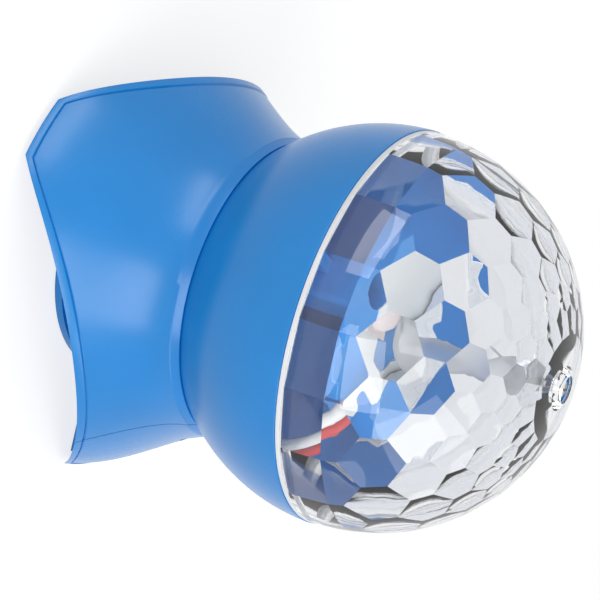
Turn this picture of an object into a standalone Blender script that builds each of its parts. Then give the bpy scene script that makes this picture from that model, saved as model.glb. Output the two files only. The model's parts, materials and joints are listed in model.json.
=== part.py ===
"""Star projector lamp: a clear faceted dome turned by a small gear motor inside a blue ball, which is held
by a three-footed bell stand with the battery box in its floor plate.

Metres, +Z up. It is modelled round the axis that the ball, the dome and the stand share, with the front
foot along -Y and the stand's two half shells meeting on the plane y = 0. A last step moves it along Y, so
that the origin is on the floor under the middle of its outline.
"""

import math

import bmesh
import bpy
from mathutils import Matrix, Vector

MM = 0.001

# Clearances shared by every fit
GAP = 0.30 * MM
OVERRUN = 5.0 * MM
EMBED = 0.6 * MM
SET_BACK = 0.12 * MM

# Ball
DOME_RADIUS = 50.0 * MM
BOWL_STEP = 0.4 * MM
BOWL_RADIUS = DOME_RADIUS + BOWL_STEP
BOWL_WALL = 2.0 * MM
BOWL_LIP_HEIGHT = 1.0 * MM

# Bell stand
SHELL_FOOT_CLEARANCE = 1.6 * MM
BELL_HEIGHT = 39.0 * MM
BELL_RIM_RADIUS = 59.9 * MM
COLLAR_SHARE = 0.7907
BELL_TOP_RADIUS = BOWL_RADIUS * COLLAR_SHARE
BELL_WALL = 2.2 * MM
BELL_STATION_SHARES = ((0.0, 1.0), (0.35, 0.68), (0.70, 0.245), (1.0, 0.0))
COLLAR_BAND_HEIGHT = 2.2 * MM
COLLAR_EDGE_WIDTH = 0.5 * MM
COLLAR_STEP = 0.25 * MM
COLLAR_SEAT_HEIGHT = 4.4 * MM
COLLAR_SEAT_INSET = 0.98 * MM
RIM_LIP_WIDTH = 1.75 * MM
RIM_LIP_PROUD = 0.30 * MM
RIM_GROOVE_WIDTH = 0.45 * MM
RIM_GROOVE_DEPTH = 0.35 * MM
ARCH_RISE = 18.6 * MM

# Feet: azimuth in degrees and half the angle that each one spans
FRONT_FOOT = (270.0, 7.6)
RIGHT_FOOT = (30.0, 10.5)
LEFT_FOOT = (150.0, 10.5)
FEET = (RIGHT_FOOT, LEFT_FOOT, FRONT_FOOT)
COLUMN_STEP = 8.0
WALL_ROWS = 5
INNER_WALL_ROWS = 4

# Inner web of the stand, and the bowl's neck that it traps
WEB_THICKNESS = 2.0 * MM
WEB_DROP = 0.5 * MM
NECK_RADIUS = 15.0 * MM
NECK_WALL = 3.5 * MM
NECK_FLANGE_WIDTH = 3.5 * MM
NECK_FLANGE_THICKNESS = 1.8 * MM
WEB_STEPS = 17

# Screws
SCREW_SHANK_RADIUS = 1.2 * MM
SCREW_HEAD_RADIUS = 2.7 * MM
SCREW_HEAD_HEIGHT = 1.5 * MM
SCREW_HEAD_TOP_SHARE = 0.7
SCREW_SLOT_WIDTH = 0.7 * MM
SCREW_SLOT_DEPTH = 0.8 * MM
SCREW_SLOT_LENGTH = 3.4 * MM
SCREW_STEPS = 10

# Side screws that close the two half shells
SIDE_BOSS_INSET = 4.8 * MM
SIDE_BOSS_HEIGHT_OVER_RIM = 29.0 * MM
SIDE_BOSS_RADIUS = 4.4 * MM
SIDE_SCREW_SEAT = 8.0 * MM
SIDE_SCREW_LENGTH = 15.0 * MM
SIDE_PILOT_DEPTH = 9.0 * MM

# Floor plate
PLATE_CLEARANCE = 0.8 * MM
PLATE_THICKNESS = 2.2 * MM
HUB_RADIUS = 33.0 * MM
ARM_WIDTH = 16.0 * MM
ARM_FILLET = 20.0 * MM
ARM_END_MARGIN = 0.6 * MM
FILLET_STEPS = 5
PLATE_SCREW_INSET = 10.4 * MM
PLATE_SCREW_RADIUS_AT = BELL_RIM_RADIUS - PLATE_SCREW_INSET
PLATE_BOSS_RADIUS = 4.6 * MM
PLATE_BOSS_HEIGHT = 1.6 * MM
PLATE_SCREW_LENGTH = 9.0 * MM
SHELL_BOSS_RADIUS = 3.6 * MM
SHELL_BOSS_HEIGHT = 14.0 * MM
SHELL_RIB_THICKNESS = 1.6 * MM
PAD_RADIUS = 5.6 * MM
PAD_RECESS = 0.8 * MM
PAD_BEVEL = 0.4 * MM
PAD_STEPS = 14

# Cells and their box
CELL_RADIUS = 5.25 * MM
CELL_LENGTH = 44.5 * MM
CELL_NUB_RADIUS = 1.9 * MM
CELL_NUB_LENGTH = 1.0 * MM
CELL_RIM_RADIUS = 4.4 * MM
CELL_PITCH = 11.0 * MM
CELL_SIDE_ROOM = 0.6 * MM
CELL_COUNT = 3
BOX_WALL = 1.2 * MM
BOX_CEILING = 1.4 * MM
CONTACT_THICKNESS = 0.4 * MM
CONTACT_WIDTH = 8.0 * MM
CONTACT_HEIGHT = 8.4 * MM
SPRING_LENGTH = 4.0 * MM
SPRING_WIRE_RADIUS = 0.3 * MM
SPRING_WIDE_RADIUS = 3.4 * MM
SPRING_NARROW_RADIUS = 2.1 * MM
SPRING_TURNS = 3
SPRING_TURN_POINTS = 7

# Battery door
DOOR_THICKNESS = PLATE_THICKNESS
DOOR_GRIP_WIDTH = 14.0 * MM
DOOR_GRIP_DEPTH = 0.7 * MM
DOOR_GRIP_LENGTH = 1.2 * MM
DOOR_GRIP_PITCH = 2.4 * MM
DOOR_GRIPS = 4

# Deck that carries the lights and the motor
DECK_OVER_CENTRE = 3.8 * MM
DECK_RADIUS = 26.8 * MM
DECK_THICKNESS = 2.0 * MM
DECK_SKIRT_HEIGHT = 2.4 * MM
DECK_SKIRT_WIDTH = 1.4 * MM
DECK_CUP_DEPTH = 5.4 * MM
DECK_CUP_FLOOR = 1.2 * MM
DECK_CUP_WALL = 1.3 * MM
DECK_CUP_RADIUS = SCREW_HEAD_RADIUS + GAP + DECK_CUP_WALL
DECK_POST_AT = DECK_RADIUS - DECK_SKIRT_WIDTH / 2 - DECK_CUP_RADIUS
DECK_POST_DEPTH = 6.8 * MM
DECK_POST_WIDTH = 11.0 * MM
DECK_POST_AZIMUTHS = (270.0, 30.0, 150.0)
DECK_RIB_THICKNESS = 2.4 * MM
DECK_RIB_DROP = 6.0 * MM
DECK_SCREW_LENGTH = 9.0 * MM
DECK_NOTCH_DEPTH = 4.0 * MM

# Light board and its three emitters
BOARD_THICKNESS = 1.6 * MM
LIGHT_BOARD_MARGIN = 1.0 * MM
LIGHT_BOARD_RADIUS = DECK_POST_AT - SCREW_HEAD_RADIUS - GAP - LIGHT_BOARD_MARGIN
LIGHT_BOARD_BORE = 7.0 * MM
EMITTER_AT = (LIGHT_BOARD_RADIUS + LIGHT_BOARD_BORE) / 2
EMITTER_AZIMUTHS = (285.0, 45.0, 165.0)
EMITTER_MARGIN = 1.6 * MM
EMITTER_SIZE = LIGHT_BOARD_RADIUS - LIGHT_BOARD_BORE - 2 * EMITTER_MARGIN
EMITTER_HEIGHT = 1.4 * MM
LENS_SHARE = 0.4
LENS_RADIUS = EMITTER_SIZE * LENS_SHARE
LENS_HEIGHT = 2.2 * MM
LENS_RINGS = 3

# Geared motor
GEARBOX_RADIUS = 11.0 * MM
GEARBOX_HEIGHT = 9.0 * MM
GEARBOX_EAR_WIDTH = 7.0 * MM
GEARBOX_EAR_THICKNESS = 2.0 * MM
GEARBOX_SCREW_AT = 15.0 * MM
GEARBOX_SOCKET_DEPTH = 3.0 * MM
MOTOR_RADIUS = 7.8 * MM
MOTOR_FLAT = 6.0 * MM
MOTOR_LENGTH = 14.0 * MM
MOTOR_TAIL_RADIUS = 3.0 * MM
MOTOR_TAIL_LENGTH = 1.6 * MM
SHAFT_RADIUS = 1.5 * MM
SHAFT_LENGTH = 14.0 * MM

# Drive post between the shaft and the dome's pole
POST_HUB_RADIUS = 5.4 * MM
POST_WAIST_RADIUS = 3.4 * MM
POST_TOP_RADIUS = 2.7 * MM
POST_HUB_LENGTH = 5.6 * MM
POST_OVER_BOARD = 1.0 * MM
POST_BORE_DEPTH = 9.0 * MM

# Dome
DOME_SEAM_GAP = 0.4 * MM
DOME_FACET_WALL = 2.4 * MM
DOME_BAND_WALL = 3.7 * MM
DOME_POLE_WALL = 3.9 * MM
FACETS_AROUND = 19
FACET_ROWS = 7
FACET_ROW_SHARE = 0.756
FACET_TURN = 0.4
SECTOR_STEPS = 3
DOME_ROWS = 7
DOME_RECESS_RADIUS = 3.4 * MM
DOME_RECESS_DEPTH = 2.3 * MM
DOME_BOSS_RADIUS = 5.2 * MM
DOME_BOSS_LENGTH = 13.5 * MM
DOME_SOCKET_WALL = 6.4 * MM
DOME_SCREW_LENGTH = 9.0 * MM
DOME_SCREW_HEAD_RADIUS = 2.3 * MM

# Driver board in the bottom of the bowl
DRIVER_ROOM = 1.4 * MM
DRIVER_REACH = DECK_POST_AT - DECK_POST_DEPTH / 2 - DRIVER_ROOM
DRIVER_LENGTH = 2 * DRIVER_REACH
DRIVER_WIDTH = DRIVER_REACH / math.cos(math.radians(DECK_POST_AZIMUTHS[1]))
DRIVER_RISE = 13.0 * MM
DRIVER_POST_INSET = 4.0 * MM
DRIVER_POST_AT = DRIVER_LENGTH / 2 - DRIVER_POST_INSET
DRIVER_POST_RADIUS = 2.8 * MM
DRIVER_SCREW_LENGTH = 6.0 * MM
CHIP_SIZE = (5.0 * MM, 6.0 * MM, 1.6 * MM)
CHIP_AT = (-4.0 * MM, -2.0 * MM)
CAPACITOR_RADIUS = 2.5 * MM
CAPACITOR_HEIGHT = 7.0 * MM
CAPACITOR_AT = (4.5 * MM, 5.0 * MM)

# Power button at the back of the stand
BUTTON_HEIGHT_OVER_RIM = 28.0 * MM
BUTTON_RADIUS = 4.0 * MM
BUTTON_PROUD = 1.6 * MM
BUTTON_LENGTH = 7.0 * MM
BUTTON_BEVEL = 0.5 * MM
BUTTON_TRAVEL = 1.0 * MM
BUTTON_TUBE_WALL = 1.6 * MM
SWITCH_WIDTH = 10.0 * MM
SWITCH_DEPTH = 6.0 * MM
SWITCH_ROOM = 0.8 * MM

# Leads
LEAD_RADIUS = 0.7 * MM
LEAD_SPACING = 2.2 * MM
LEAD_SPAN_POINTS = 2
SUPPLY_LEAD_BEND_SHARES = (0.3, 0.65)
LIGHT_LEAD_RADIUS = 1.0 * MM
LIGHT_LEAD_SPACING = 2.5 * MM
LIGHT_LEAD_AZIMUTH = 333.0
LIGHT_LEAD_LOW_AZIMUTH = 352.0
LIGHT_LEAD_WALL_AZIMUTH = 346.0
LIGHT_LEAD_LOW = (32.5 * MM, -24.0 * MM)
LIGHT_LEAD_WALL = (38.0 * MM, -5.0 * MM)
LIGHT_LEAD_CREST = (33.0 * MM, 5.2 * MM)

# Facets on round pieces
STEPS = 34
BALL_STEPS = 46
SMALL_STEPS = 16
CUP_STEPS = 12
CORE_STEPS = 50
BOWL_ROWS = 7
BOWL_INNER_ROWS = 5

# Heights that follow from the sizes above
RIM_Z = SHELL_FOOT_CLEARANCE
BELL_TOP_Z = RIM_Z + BELL_HEIGHT
BAND_TOP_Z = BELL_TOP_Z + COLLAR_BAND_HEIGHT
SEAT_RADIUS = BOWL_RADIUS + GAP
BALL_Z = BAND_TOP_Z + math.sqrt(SEAT_RADIUS ** 2 - (BELL_TOP_RADIUS - COLLAR_SEAT_INSET) ** 2)
WEB_TOP_Z = BALL_Z - BOWL_RADIUS - WEB_DROP
WEB_BOTTOM_Z = WEB_TOP_Z - WEB_THICKNESS
NECK_END_Z = WEB_BOTTOM_Z - GAP - NECK_FLANGE_THICKNESS
PLATE_TOP_Z = PLATE_CLEARANCE + PLATE_THICKNESS
CELL_Z = PLATE_TOP_Z + GAP + CELL_RADIUS
BOX_TOP_Z = CELL_Z + CELL_RADIUS + GAP + BOX_CEILING
BOX_INNER_LENGTH = CELL_LENGTH + SPRING_LENGTH + 2 * CONTACT_THICKNESS + 5 * GAP
BOX_INNER_WIDTH = CELL_PITCH * (CELL_COUNT - 1) + 2 * CELL_RADIUS + 2 * CELL_SIDE_ROOM
DECK_TOP_Z = BALL_Z + DECK_OVER_CENTRE
DECK_BOTTOM_Z = DECK_TOP_Z - DECK_THICKNESS
DECK_CUP_Z = DECK_TOP_Z - DECK_CUP_DEPTH
DECK_NOTCH_WIDTH = LIGHT_LEAD_SPACING + 2 * LIGHT_LEAD_RADIUS + 2 * GAP
LIGHT_BOARD_TOP_Z = DECK_TOP_Z + GAP + BOARD_THICKNESS
GEARBOX_TOP_Z = DECK_BOTTOM_Z - GAP
GEARBOX_BOTTOM_Z = GEARBOX_TOP_Z - GEARBOX_HEIGHT
SHAFT_BOTTOM_Z = GEARBOX_TOP_Z - GEARBOX_SOCKET_DEPTH + GAP
POST_BOTTOM_Z = LIGHT_BOARD_TOP_Z + POST_OVER_BOARD
DOME_FACET_RADIUS = DOME_RADIUS - DOME_FACET_WALL
DOME_BAND_RADIUS = DOME_RADIUS - DOME_BAND_WALL
DOME_POLE_FLAT = DOME_RADIUS - DOME_POLE_WALL
DOME_RECESS_FLOOR = DOME_RADIUS - DOME_RECESS_DEPTH
DOME_SOCKET_TOP = DOME_RADIUS - DOME_SOCKET_WALL
DOME_BOSS_END = DOME_RADIUS - DOME_BOSS_LENGTH
POST_TOP_Z = BALL_Z + DOME_SOCKET_TOP - GAP
DRIVER_Z = NECK_END_Z + DRIVER_RISE + GAP
BUTTON_TUBE_LENGTH = BUTTON_LENGTH - BUTTON_PROUD + BUTTON_TRAVEL

# Colours are linear; each finish is colour, roughness, metallic value and transmission
BLUE = (0.018, 0.205, 0.680)
FINISHES = {
    "blue plastic": (BLUE, 0.32, 0.0, 0.0),
    "dark rubber": ((0.03, 0.03, 0.035), 0.85, 0.0, 0.0),
    "white plastic": ((0.82, 0.83, 0.84), 0.45, 0.0, 0.0),
    "clear plastic": ((0.95, 0.97, 0.98), 0.03, 0.0, 1.0),
    "plated steel": ((0.62, 0.61, 0.58), 0.28, 1.0, 0.0),
    "bright steel": ((0.70, 0.70, 0.70), 0.22, 1.0, 0.0),
    "grey plastic": ((0.35, 0.36, 0.38), 0.5, 0.0, 0.0),
    "green board": ((0.02, 0.18, 0.06), 0.45, 0.0, 0.0),
    "white board": ((0.78, 0.80, 0.80), 0.35, 0.0, 0.0),
    "cell wrap": ((0.08, 0.09, 0.10), 0.35, 0.3, 0.0),
    "red lead": ((0.55, 0.02, 0.02), 0.4, 0.0, 0.0),
    "black lead": ((0.015, 0.015, 0.018), 0.4, 0.0, 0.0),
    "white lead": ((0.70, 0.70, 0.70), 0.4, 0.0, 0.0),
    "red emitter": ((0.80, 0.62, 0.60), 0.2, 0.0, 0.0),
    "green emitter": ((0.64, 0.78, 0.66), 0.2, 0.0, 0.0),
    "blue emitter": ((0.62, 0.68, 0.82), 0.2, 0.0, 0.0),
}


def polar(radius, degrees, z=0.0):
    angle = math.radians(degrees)
    return Vector((radius * math.cos(angle), radius * math.sin(angle), z))


def material(name):
    found = bpy.data.materials.get(name)
    if found:
        return found
    colour, roughness, metallic, transmission = FINISHES[name]
    made = bpy.data.materials.new(name)
    made.use_nodes = True
    shader = made.node_tree.nodes["Principled BSDF"]
    shader.inputs["Base Color"].default_value = (*colour, 1.0)
    shader.inputs["Roughness"].default_value = roughness
    shader.inputs["Metallic"].default_value = metallic
    shader.inputs["Transmission Weight"].default_value = transmission
    made.diffuse_color = (*colour, 1.0)
    return made


def place(name, bm, finish, location=(0.0, 0.0, 0.0), turn=None, smooth_angle=35.0):
    """Turn a bmesh into a named object with outward faces and smooth round sides."""
    bmesh.ops.remove_doubles(bm, verts=bm.verts, dist=0.00001)
    bmesh.ops.recalc_face_normals(bm, faces=bm.faces)
    mesh = bpy.data.meshes.new(name)
    bm.to_mesh(mesh)
    bm.free()
    mesh.shade_smooth()
    mesh.set_sharp_from_angle(angle=math.radians(smooth_angle))
    mesh.materials.append(material(finish))
    piece = bpy.data.objects.new(name, mesh)
    bpy.context.collection.objects.link(piece)
    piece.location = location
    if turn is not None:
        piece.rotation_euler = turn
    return piece


def combine(piece, tools, operation):
    """Join or cut piece with each tool in turn, keep the result as its mesh and drop the tools."""
    for tool in tools:
        step = piece.modifiers.new(operation.title(), "BOOLEAN")
        step.operation = operation
        step.object = tool
    bpy.context.view_layer.update()
    evaluated = piece.evaluated_get(bpy.context.evaluated_depsgraph_get())
    mesh = bpy.data.meshes.new_from_object(evaluated)
    piece.modifiers.clear()
    piece.data = mesh
    mesh.shade_smooth()
    mesh.set_sharp_from_angle(angle=math.radians(35.0))
    for tool in tools:
        bpy.data.objects.remove(tool)
    return piece


def join(piece, tools):
    return combine(piece, tools, "UNION")


def cut(piece, tools):
    return combine(piece, tools, "DIFFERENCE")


def keep_inside(piece, tool):
    return combine(piece, [tool], "INTERSECT")


def bevel(piece, width, segments=2):
    rounding = piece.modifiers.new("Rounded edges", "BEVEL")
    rounding.width = width
    rounding.segments = segments
    rounding.limit_method = "ANGLE"
    rounding.angle_limit = math.radians(40.0)
    return piece


def join_loops(bm, first, second):
    """Faces between two rings of vertices: a ring of one vertex is a tip, and a ring with a multiple of
    the other's vertices gets several of them in each face."""
    smaller, larger = sorted((len(first), len(second)))
    count = larger if smaller == 1 else smaller
    for index in range(count):
        corners = []
        for ring, order in ((first, 1), (second, -1)):
            start = index * len(ring) // count
            end = (index + 1) * len(ring) // count
            corners += [ring[k % len(ring)] for k in range(start, end + 1)][::order]
        bm.faces.new(list(dict.fromkeys(corners)))


def turned(name, section, finish, steps=STEPS, location=(0.0, 0.0, 0.0), turn=None, phase=0.0):
    """Revolve a section of (radius, height) points about Z.

    A section that starts and ends on the axis closes there, with a flat face where its end is level;
    any other section is a closed outline.
    """
    bm = bmesh.new()
    flat_start = section[0][0] == 0 and section[0][1] == section[1][1]
    flat_end = section[-1][0] == 0 and section[-1][1] == section[-2][1]
    points = section[1 if flat_start else 0:-1 if flat_end else len(section)]
    loops = []
    for radius, height in points:
        if radius == 0:
            loops.append([bm.verts.new((0.0, 0.0, height))])
        else:
            loops.append([bm.verts.new(polar(radius, 360.0 * (k + phase) / steps, height)) for k in range(steps)])
    pairs = list(zip(loops, loops[1:]))
    if section[0][0] != 0:
        pairs.append((loops[-1], loops[0]))
    for first, second in pairs:
        join_loops(bm, first, second)
    if flat_start:
        bm.faces.new(loops[0])
    if flat_end:
        bm.faces.new(loops[-1])
    return place(name, bm, finish, location, turn)


def column_body(name, columns, finish):
    """A body swept through columns of points, closed by a flat face at each end."""
    bm = bmesh.new()
    rows = [[bm.verts.new(point) for point in column] for column in columns]
    for first, second in zip(rows, rows[1:]):
        join_loops(bm, first, second)
    bm.faces.new(rows[0])
    bm.faces.new(rows[-1])
    return place(name, bm, finish)


def prism(name, outline, bottom, top, finish, location=(0.0, 0.0, 0.0), turn=None):
    """An outline of (x, y) points raised from bottom to top."""
    bm = bmesh.new()
    low = [bm.verts.new((x, y, bottom)) for x, y in outline]
    high = [bm.verts.new((x, y, top)) for x, y in outline]
    join_loops(bm, low, high)
    bm.faces.new(low)
    bm.faces.new(high)
    return place(name, bm, finish, location, turn)


def block(name, size, centre, finish, turn=None):
    half_x, half_y, half_z = (side / 2 for side in size)
    outline = [(-half_x, -half_y), (half_x, -half_y), (half_x, half_y), (-half_x, half_y)]
    return prism(name, outline, -half_z, half_z, finish, centre, turn)


def rod(name, radius, bottom, top, finish, location=(0.0, 0.0, 0.0), turn=None, steps=SMALL_STEPS):
    """A plain round bar from bottom to top along its own Z, turned half a step from the turned shells."""
    section = [(0, bottom), (radius, bottom), (radius, top), (0, top)]
    return turned(name, section, finish, steps, location, turn, 0.5)


def screw(name, length, head_at, turn=None, slotted=False, head_radius=SCREW_HEAD_RADIUS):
    """A pan-head screw whose origin is under its head and whose shank runs down its own -Z."""
    section = [
        (0, -length),
        (SCREW_SHANK_RADIUS, -length),
        (SCREW_SHANK_RADIUS, 0),
        (head_radius, 0),
        (head_radius, SCREW_HEAD_HEIGHT / 2),
        (head_radius * SCREW_HEAD_TOP_SHARE, SCREW_HEAD_HEIGHT),
        (0, SCREW_HEAD_HEIGHT),
    ]
    piece = turned(name, section, "plated steel", SCREW_STEPS)
    if slotted:
        size = (SCREW_SLOT_LENGTH, SCREW_SLOT_WIDTH, 2 * SCREW_SLOT_DEPTH)
        top = (0, 0, SCREW_HEAD_HEIGHT)
        cross = block("Slot", size, top, "plated steel")
        cut(piece, [join(cross, [block("Slot", size, top, "plated steel", (0, 0, math.pi / 2))])])
    piece.location = head_at
    if turn is not None:
        piece.rotation_euler = turn
    return piece


def joint_empty(name, location):
    empty = bpy.data.objects.new(name, None)
    bpy.context.collection.objects.link(empty)
    empty.location = location
    return empty


def carry(parent, pieces):
    """Parent pieces to an empty on their joint's axis without moving them."""
    bpy.context.view_layer.update()
    for piece in pieces:
        piece.parent = parent
        piece.matrix_parent_inverse = parent.matrix_world.inverted()


def sphere_radius(radius, height):
    """Radius of a ball's level circle at a height over the floor."""
    return math.sqrt(radius ** 2 - (height - BALL_Z) ** 2)


def sphere_height(radius, level_radius):
    """Height over the floor of the level circle on the ball's lower half."""
    return BALL_Z - math.sqrt(radius ** 2 - level_radius ** 2)


# Stand

def bell_radius(z):
    """Outer radius of the bell: one cubic through the four stations, narrow at the collar."""
    share = (z - RIM_Z) / BELL_HEIGHT
    total = 0.0
    for height_share, radius_share in BELL_STATION_SHARES:
        weight = radius_share
        for other, _ in BELL_STATION_SHARES:
            if other != height_share:
                weight *= (share - other) / (height_share - other)
        total += weight
    return BELL_TOP_RADIUS + (BELL_RIM_RADIUS - BELL_TOP_RADIUS) * total


def arches():
    """Middle azimuth, half span and cutting radius of the arch between each pair of feet."""
    found = []
    for (azimuth, half), (next_azimuth, next_half) in zip(FEET, FEET[1:] + FEET[:1]):
        start = azimuth + half
        end = next_azimuth - next_half
        if end < start:
            end += 360.0
        half_span = (end - start) / 2
        half_chord = BELL_RIM_RADIUS * math.sin(math.radians(half_span))
        radius = (half_chord ** 2 + ARCH_RISE ** 2) / (2 * ARCH_RISE)
        found.append(((start + half_span) % 360.0, half_span, radius))
    return found


def rim_height(azimuth, inset):
    """Height of the bell's lower edge at an azimuth, on a surface this far inside the outer one."""
    z = RIM_Z
    for middle, half_span, cut_radius in arches():
        away = (azimuth - middle + 180.0) % 360.0 - 180.0
        if abs(away) > 90.0:
            continue
        height = RIM_Z
        for _ in range(8):
            offset = (bell_radius(height) - inset) * math.sin(math.radians(away))
            if abs(offset) >= cut_radius:
                height = RIM_Z
                break
            height = RIM_Z + ARCH_RISE - cut_radius + math.sqrt(cut_radius ** 2 - offset ** 2)
            height = max(height, RIM_Z)
        z = max(z, height)
    return z


def shell_azimuths(start, end):
    """Azimuths of the columns: even steps between the feet's corners, their middles and the arches' tops."""
    marks = {start, end}
    for azimuth, half in FEET:
        marks.update({azimuth - half, azimuth, azimuth + half})
    for middle, _, _ in arches():
        marks.add(middle)
    marks = sorted(mark for mark in marks if start <= mark <= end)
    azimuths = [marks[0]]
    for low, high in zip(marks, marks[1:]):
        count = math.ceil((high - low) / COLUMN_STEP)
        azimuths += [low + (high - low) * k / count for k in range(1, count + 1)]
    return azimuths


def shell_section(azimuth):
    """Radius and height of each point round the shell's wall at an azimuth, from the rim's outer edge."""
    rim = rim_height(azimuth, 0.0)
    lip_top = rim + RIM_LIP_WIDTH
    groove_top = lip_top + RIM_GROOVE_WIDTH
    section = [
        (bell_radius(rim) + RIM_LIP_PROUD, rim),
        (bell_radius(lip_top) + RIM_LIP_PROUD, lip_top),
        (bell_radius(lip_top) - RIM_GROOVE_DEPTH, lip_top),
        (bell_radius(groove_top) - RIM_GROOVE_DEPTH, groove_top),
    ]
    for row in range(WALL_ROWS + 1):
        z = groove_top + (BELL_TOP_Z - groove_top) * row / WALL_ROWS
        section.append((bell_radius(z), z))
    seat_end = BAND_TOP_Z - COLLAR_SEAT_HEIGHT
    section.append((BELL_TOP_RADIUS - COLLAR_STEP, BELL_TOP_Z + COLLAR_STEP))
    section.append((sphere_radius(SEAT_RADIUS, BAND_TOP_Z) + COLLAR_EDGE_WIDTH, BAND_TOP_Z))
    section.append((sphere_radius(SEAT_RADIUS, BAND_TOP_Z), BAND_TOP_Z))
    section.append((sphere_radius(SEAT_RADIUS, seat_end), seat_end))
    inner_rim = rim_height(azimuth, BELL_WALL)
    ledge = seat_end - COLLAR_STEP
    for row in range(INNER_WALL_ROWS + 1):
        z = ledge + (inner_rim - ledge) * row / INNER_WALL_ROWS
        section.append((bell_radius(z) - BELL_WALL, z))
    return section


def half_shell(name, start, side):
    """One half of the stand: 180 degrees of bell, held off the parting plane by half the gap."""
    columns = []
    azimuths = shell_azimuths(start, start + 180.0)
    for azimuth in azimuths:
        column = [polar(radius, azimuth, z) for radius, z in shell_section(azimuth)]
        if azimuth in (azimuths[0], azimuths[-1]):
            for point in column:
                point.y = side * GAP / 2
        columns.append(column)
    return column_body(name, columns, "blue plastic")


def bell_core():
    """The space inside the bell up to the middle of its wall: moulded features stop there."""
    section = [(0, PLATE_CLEARANCE)]
    heights = [PLATE_TOP_Z + (BELL_TOP_Z - PLATE_TOP_Z) * row / WALL_ROWS for row in range(WALL_ROWS + 1)]
    section.append((bell_radius(RIM_Z) - EMBED * 2, PLATE_CLEARANCE))
    section += [(bell_radius(z) - BELL_WALL + EMBED, z) for z in heights]
    section.append((0, BELL_TOP_Z))
    return turned("Bell core", section, "blue plastic", CORE_STEPS)


def half_web(start, side):
    """The half ring that traps the bowl's neck."""
    bore = NECK_RADIUS + GAP
    columns = []
    for k in range(WEB_STEPS + 1):
        azimuth = start + 180.0 * k / WEB_STEPS
        section = [
            (bore, WEB_BOTTOM_Z),
            (bell_radius(WEB_BOTTOM_Z) - BELL_WALL + 2 * EMBED, WEB_BOTTOM_Z),
            (bell_radius(WEB_TOP_Z) - BELL_WALL + 2 * EMBED, WEB_TOP_Z),
            (bore, WEB_TOP_Z),
        ]
        column = [polar(radius, azimuth, z) for radius, z in section]
        if k in (0, WEB_STEPS):
            for point in column:
                point.y = side * (GAP / 2 + 2 * SET_BACK)
        columns.append(column)
    return column_body("Web", columns, "blue plastic")


def foot_boss(azimuth):
    """Post and rib inside a foot, for the floor plate's screw."""
    bottom = PLATE_TOP_Z + PLATE_BOSS_HEIGHT + GAP
    top = bottom + SHELL_BOSS_HEIGHT
    centre = polar(PLATE_SCREW_RADIUS_AT, azimuth)
    post = rod("Foot boss", SHELL_BOSS_RADIUS, bottom, top, "blue plastic", centre)
    reach = BELL_RIM_RADIUS - PLATE_SCREW_RADIUS_AT
    middle = polar(PLATE_SCREW_RADIUS_AT + reach / 2, azimuth, (bottom + top) / 2)
    rib = block("Foot rib", (reach, SHELL_RIB_THICKNESS, top - bottom), middle, "blue plastic",
                (0, 0, math.radians(azimuth)))
    return keep_inside(join(post, [rib]), bell_core())


def foot_pilot(azimuth):
    bottom = PLATE_TOP_Z
    depth = PLATE_SCREW_LENGTH + 2 * GAP
    return rod("Pilot", SCREW_SHANK_RADIUS + GAP, bottom, bottom + depth, "blue plastic",
               polar(PLATE_SCREW_RADIUS_AT, azimuth), steps=SCREW_STEPS)


ALONG_PLUS_Y = (-math.pi / 2, 0, 0)


def side_boss_places():
    """X of the two side bosses, just inside the wall."""
    offset = bell_radius(RIM_Z + SIDE_BOSS_HEIGHT_OVER_RIM) - BELL_WALL - SIDE_BOSS_INSET
    return -offset, offset


def side_bar(x, radius, start, end, steps=SMALL_STEPS):
    """A bar along +Y at the height of the side screws."""
    centre = (x, 0, RIM_Z + SIDE_BOSS_HEIGHT_OVER_RIM)
    return rod("Side bar", radius, start, end, "blue plastic", centre, ALONG_PLUS_Y, steps)


def front_shell():
    shell = half_shell("stand_front_shell", 180.0, -1)
    added = [half_web(180.0, -1), foot_boss(FRONT_FOOT[0])]
    holes = [foot_pilot(FRONT_FOOT[0])]
    for x in side_boss_places():
        boss = side_bar(x, SIDE_BOSS_RADIUS, -BELL_TOP_RADIUS, -GAP / 2 - SET_BACK)
        added.append(keep_inside(boss, bell_core()))
        holes.append(side_bar(x, SCREW_SHANK_RADIUS + GAP, -SIDE_PILOT_DEPTH, OVERRUN, SCREW_STEPS))
    return cut(join(shell, added), holes)


def button_frame():
    """Centre of the button on the bell's surface, and the outward slope of the wall there."""
    z = RIM_Z + BUTTON_HEIGHT_OVER_RIM
    slope = (bell_radius(z + MM) - bell_radius(z - MM)) / (2 * MM)
    lean = math.atan(-slope)
    return Vector((0, bell_radius(z), z)), lean


def button_turn():
    """Rotation that takes a piece's own +Z to the outward normal at the button."""
    _, lean = button_frame()
    return (-math.pi / 2 + lean, 0, 0)


def switch_centre():
    """The switch sits behind the end of the button's tube."""
    centre, lean = button_frame()
    outward = Vector((0, math.cos(lean), math.sin(lean)))
    return centre - outward * (BUTTON_TUBE_LENGTH + GAP + SWITCH_DEPTH / 2)


def rear_web():
    """Half web with a notch that the switch reaches down through."""
    centre = switch_centre()
    room = SWITCH_WIDTH + 2 * SWITCH_ROOM
    notch_start = centre.y - room / 2
    notch_end = bell_radius(WEB_BOTTOM_Z) + OVERRUN
    notch = block("Notch", (room, notch_end - notch_start, WEB_THICKNESS + OVERRUN),
                  (0, (notch_start + notch_end) / 2, (WEB_TOP_Z + WEB_BOTTOM_Z) / 2), "blue plastic")
    return cut(half_web(0.0, 1), [notch])


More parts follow.
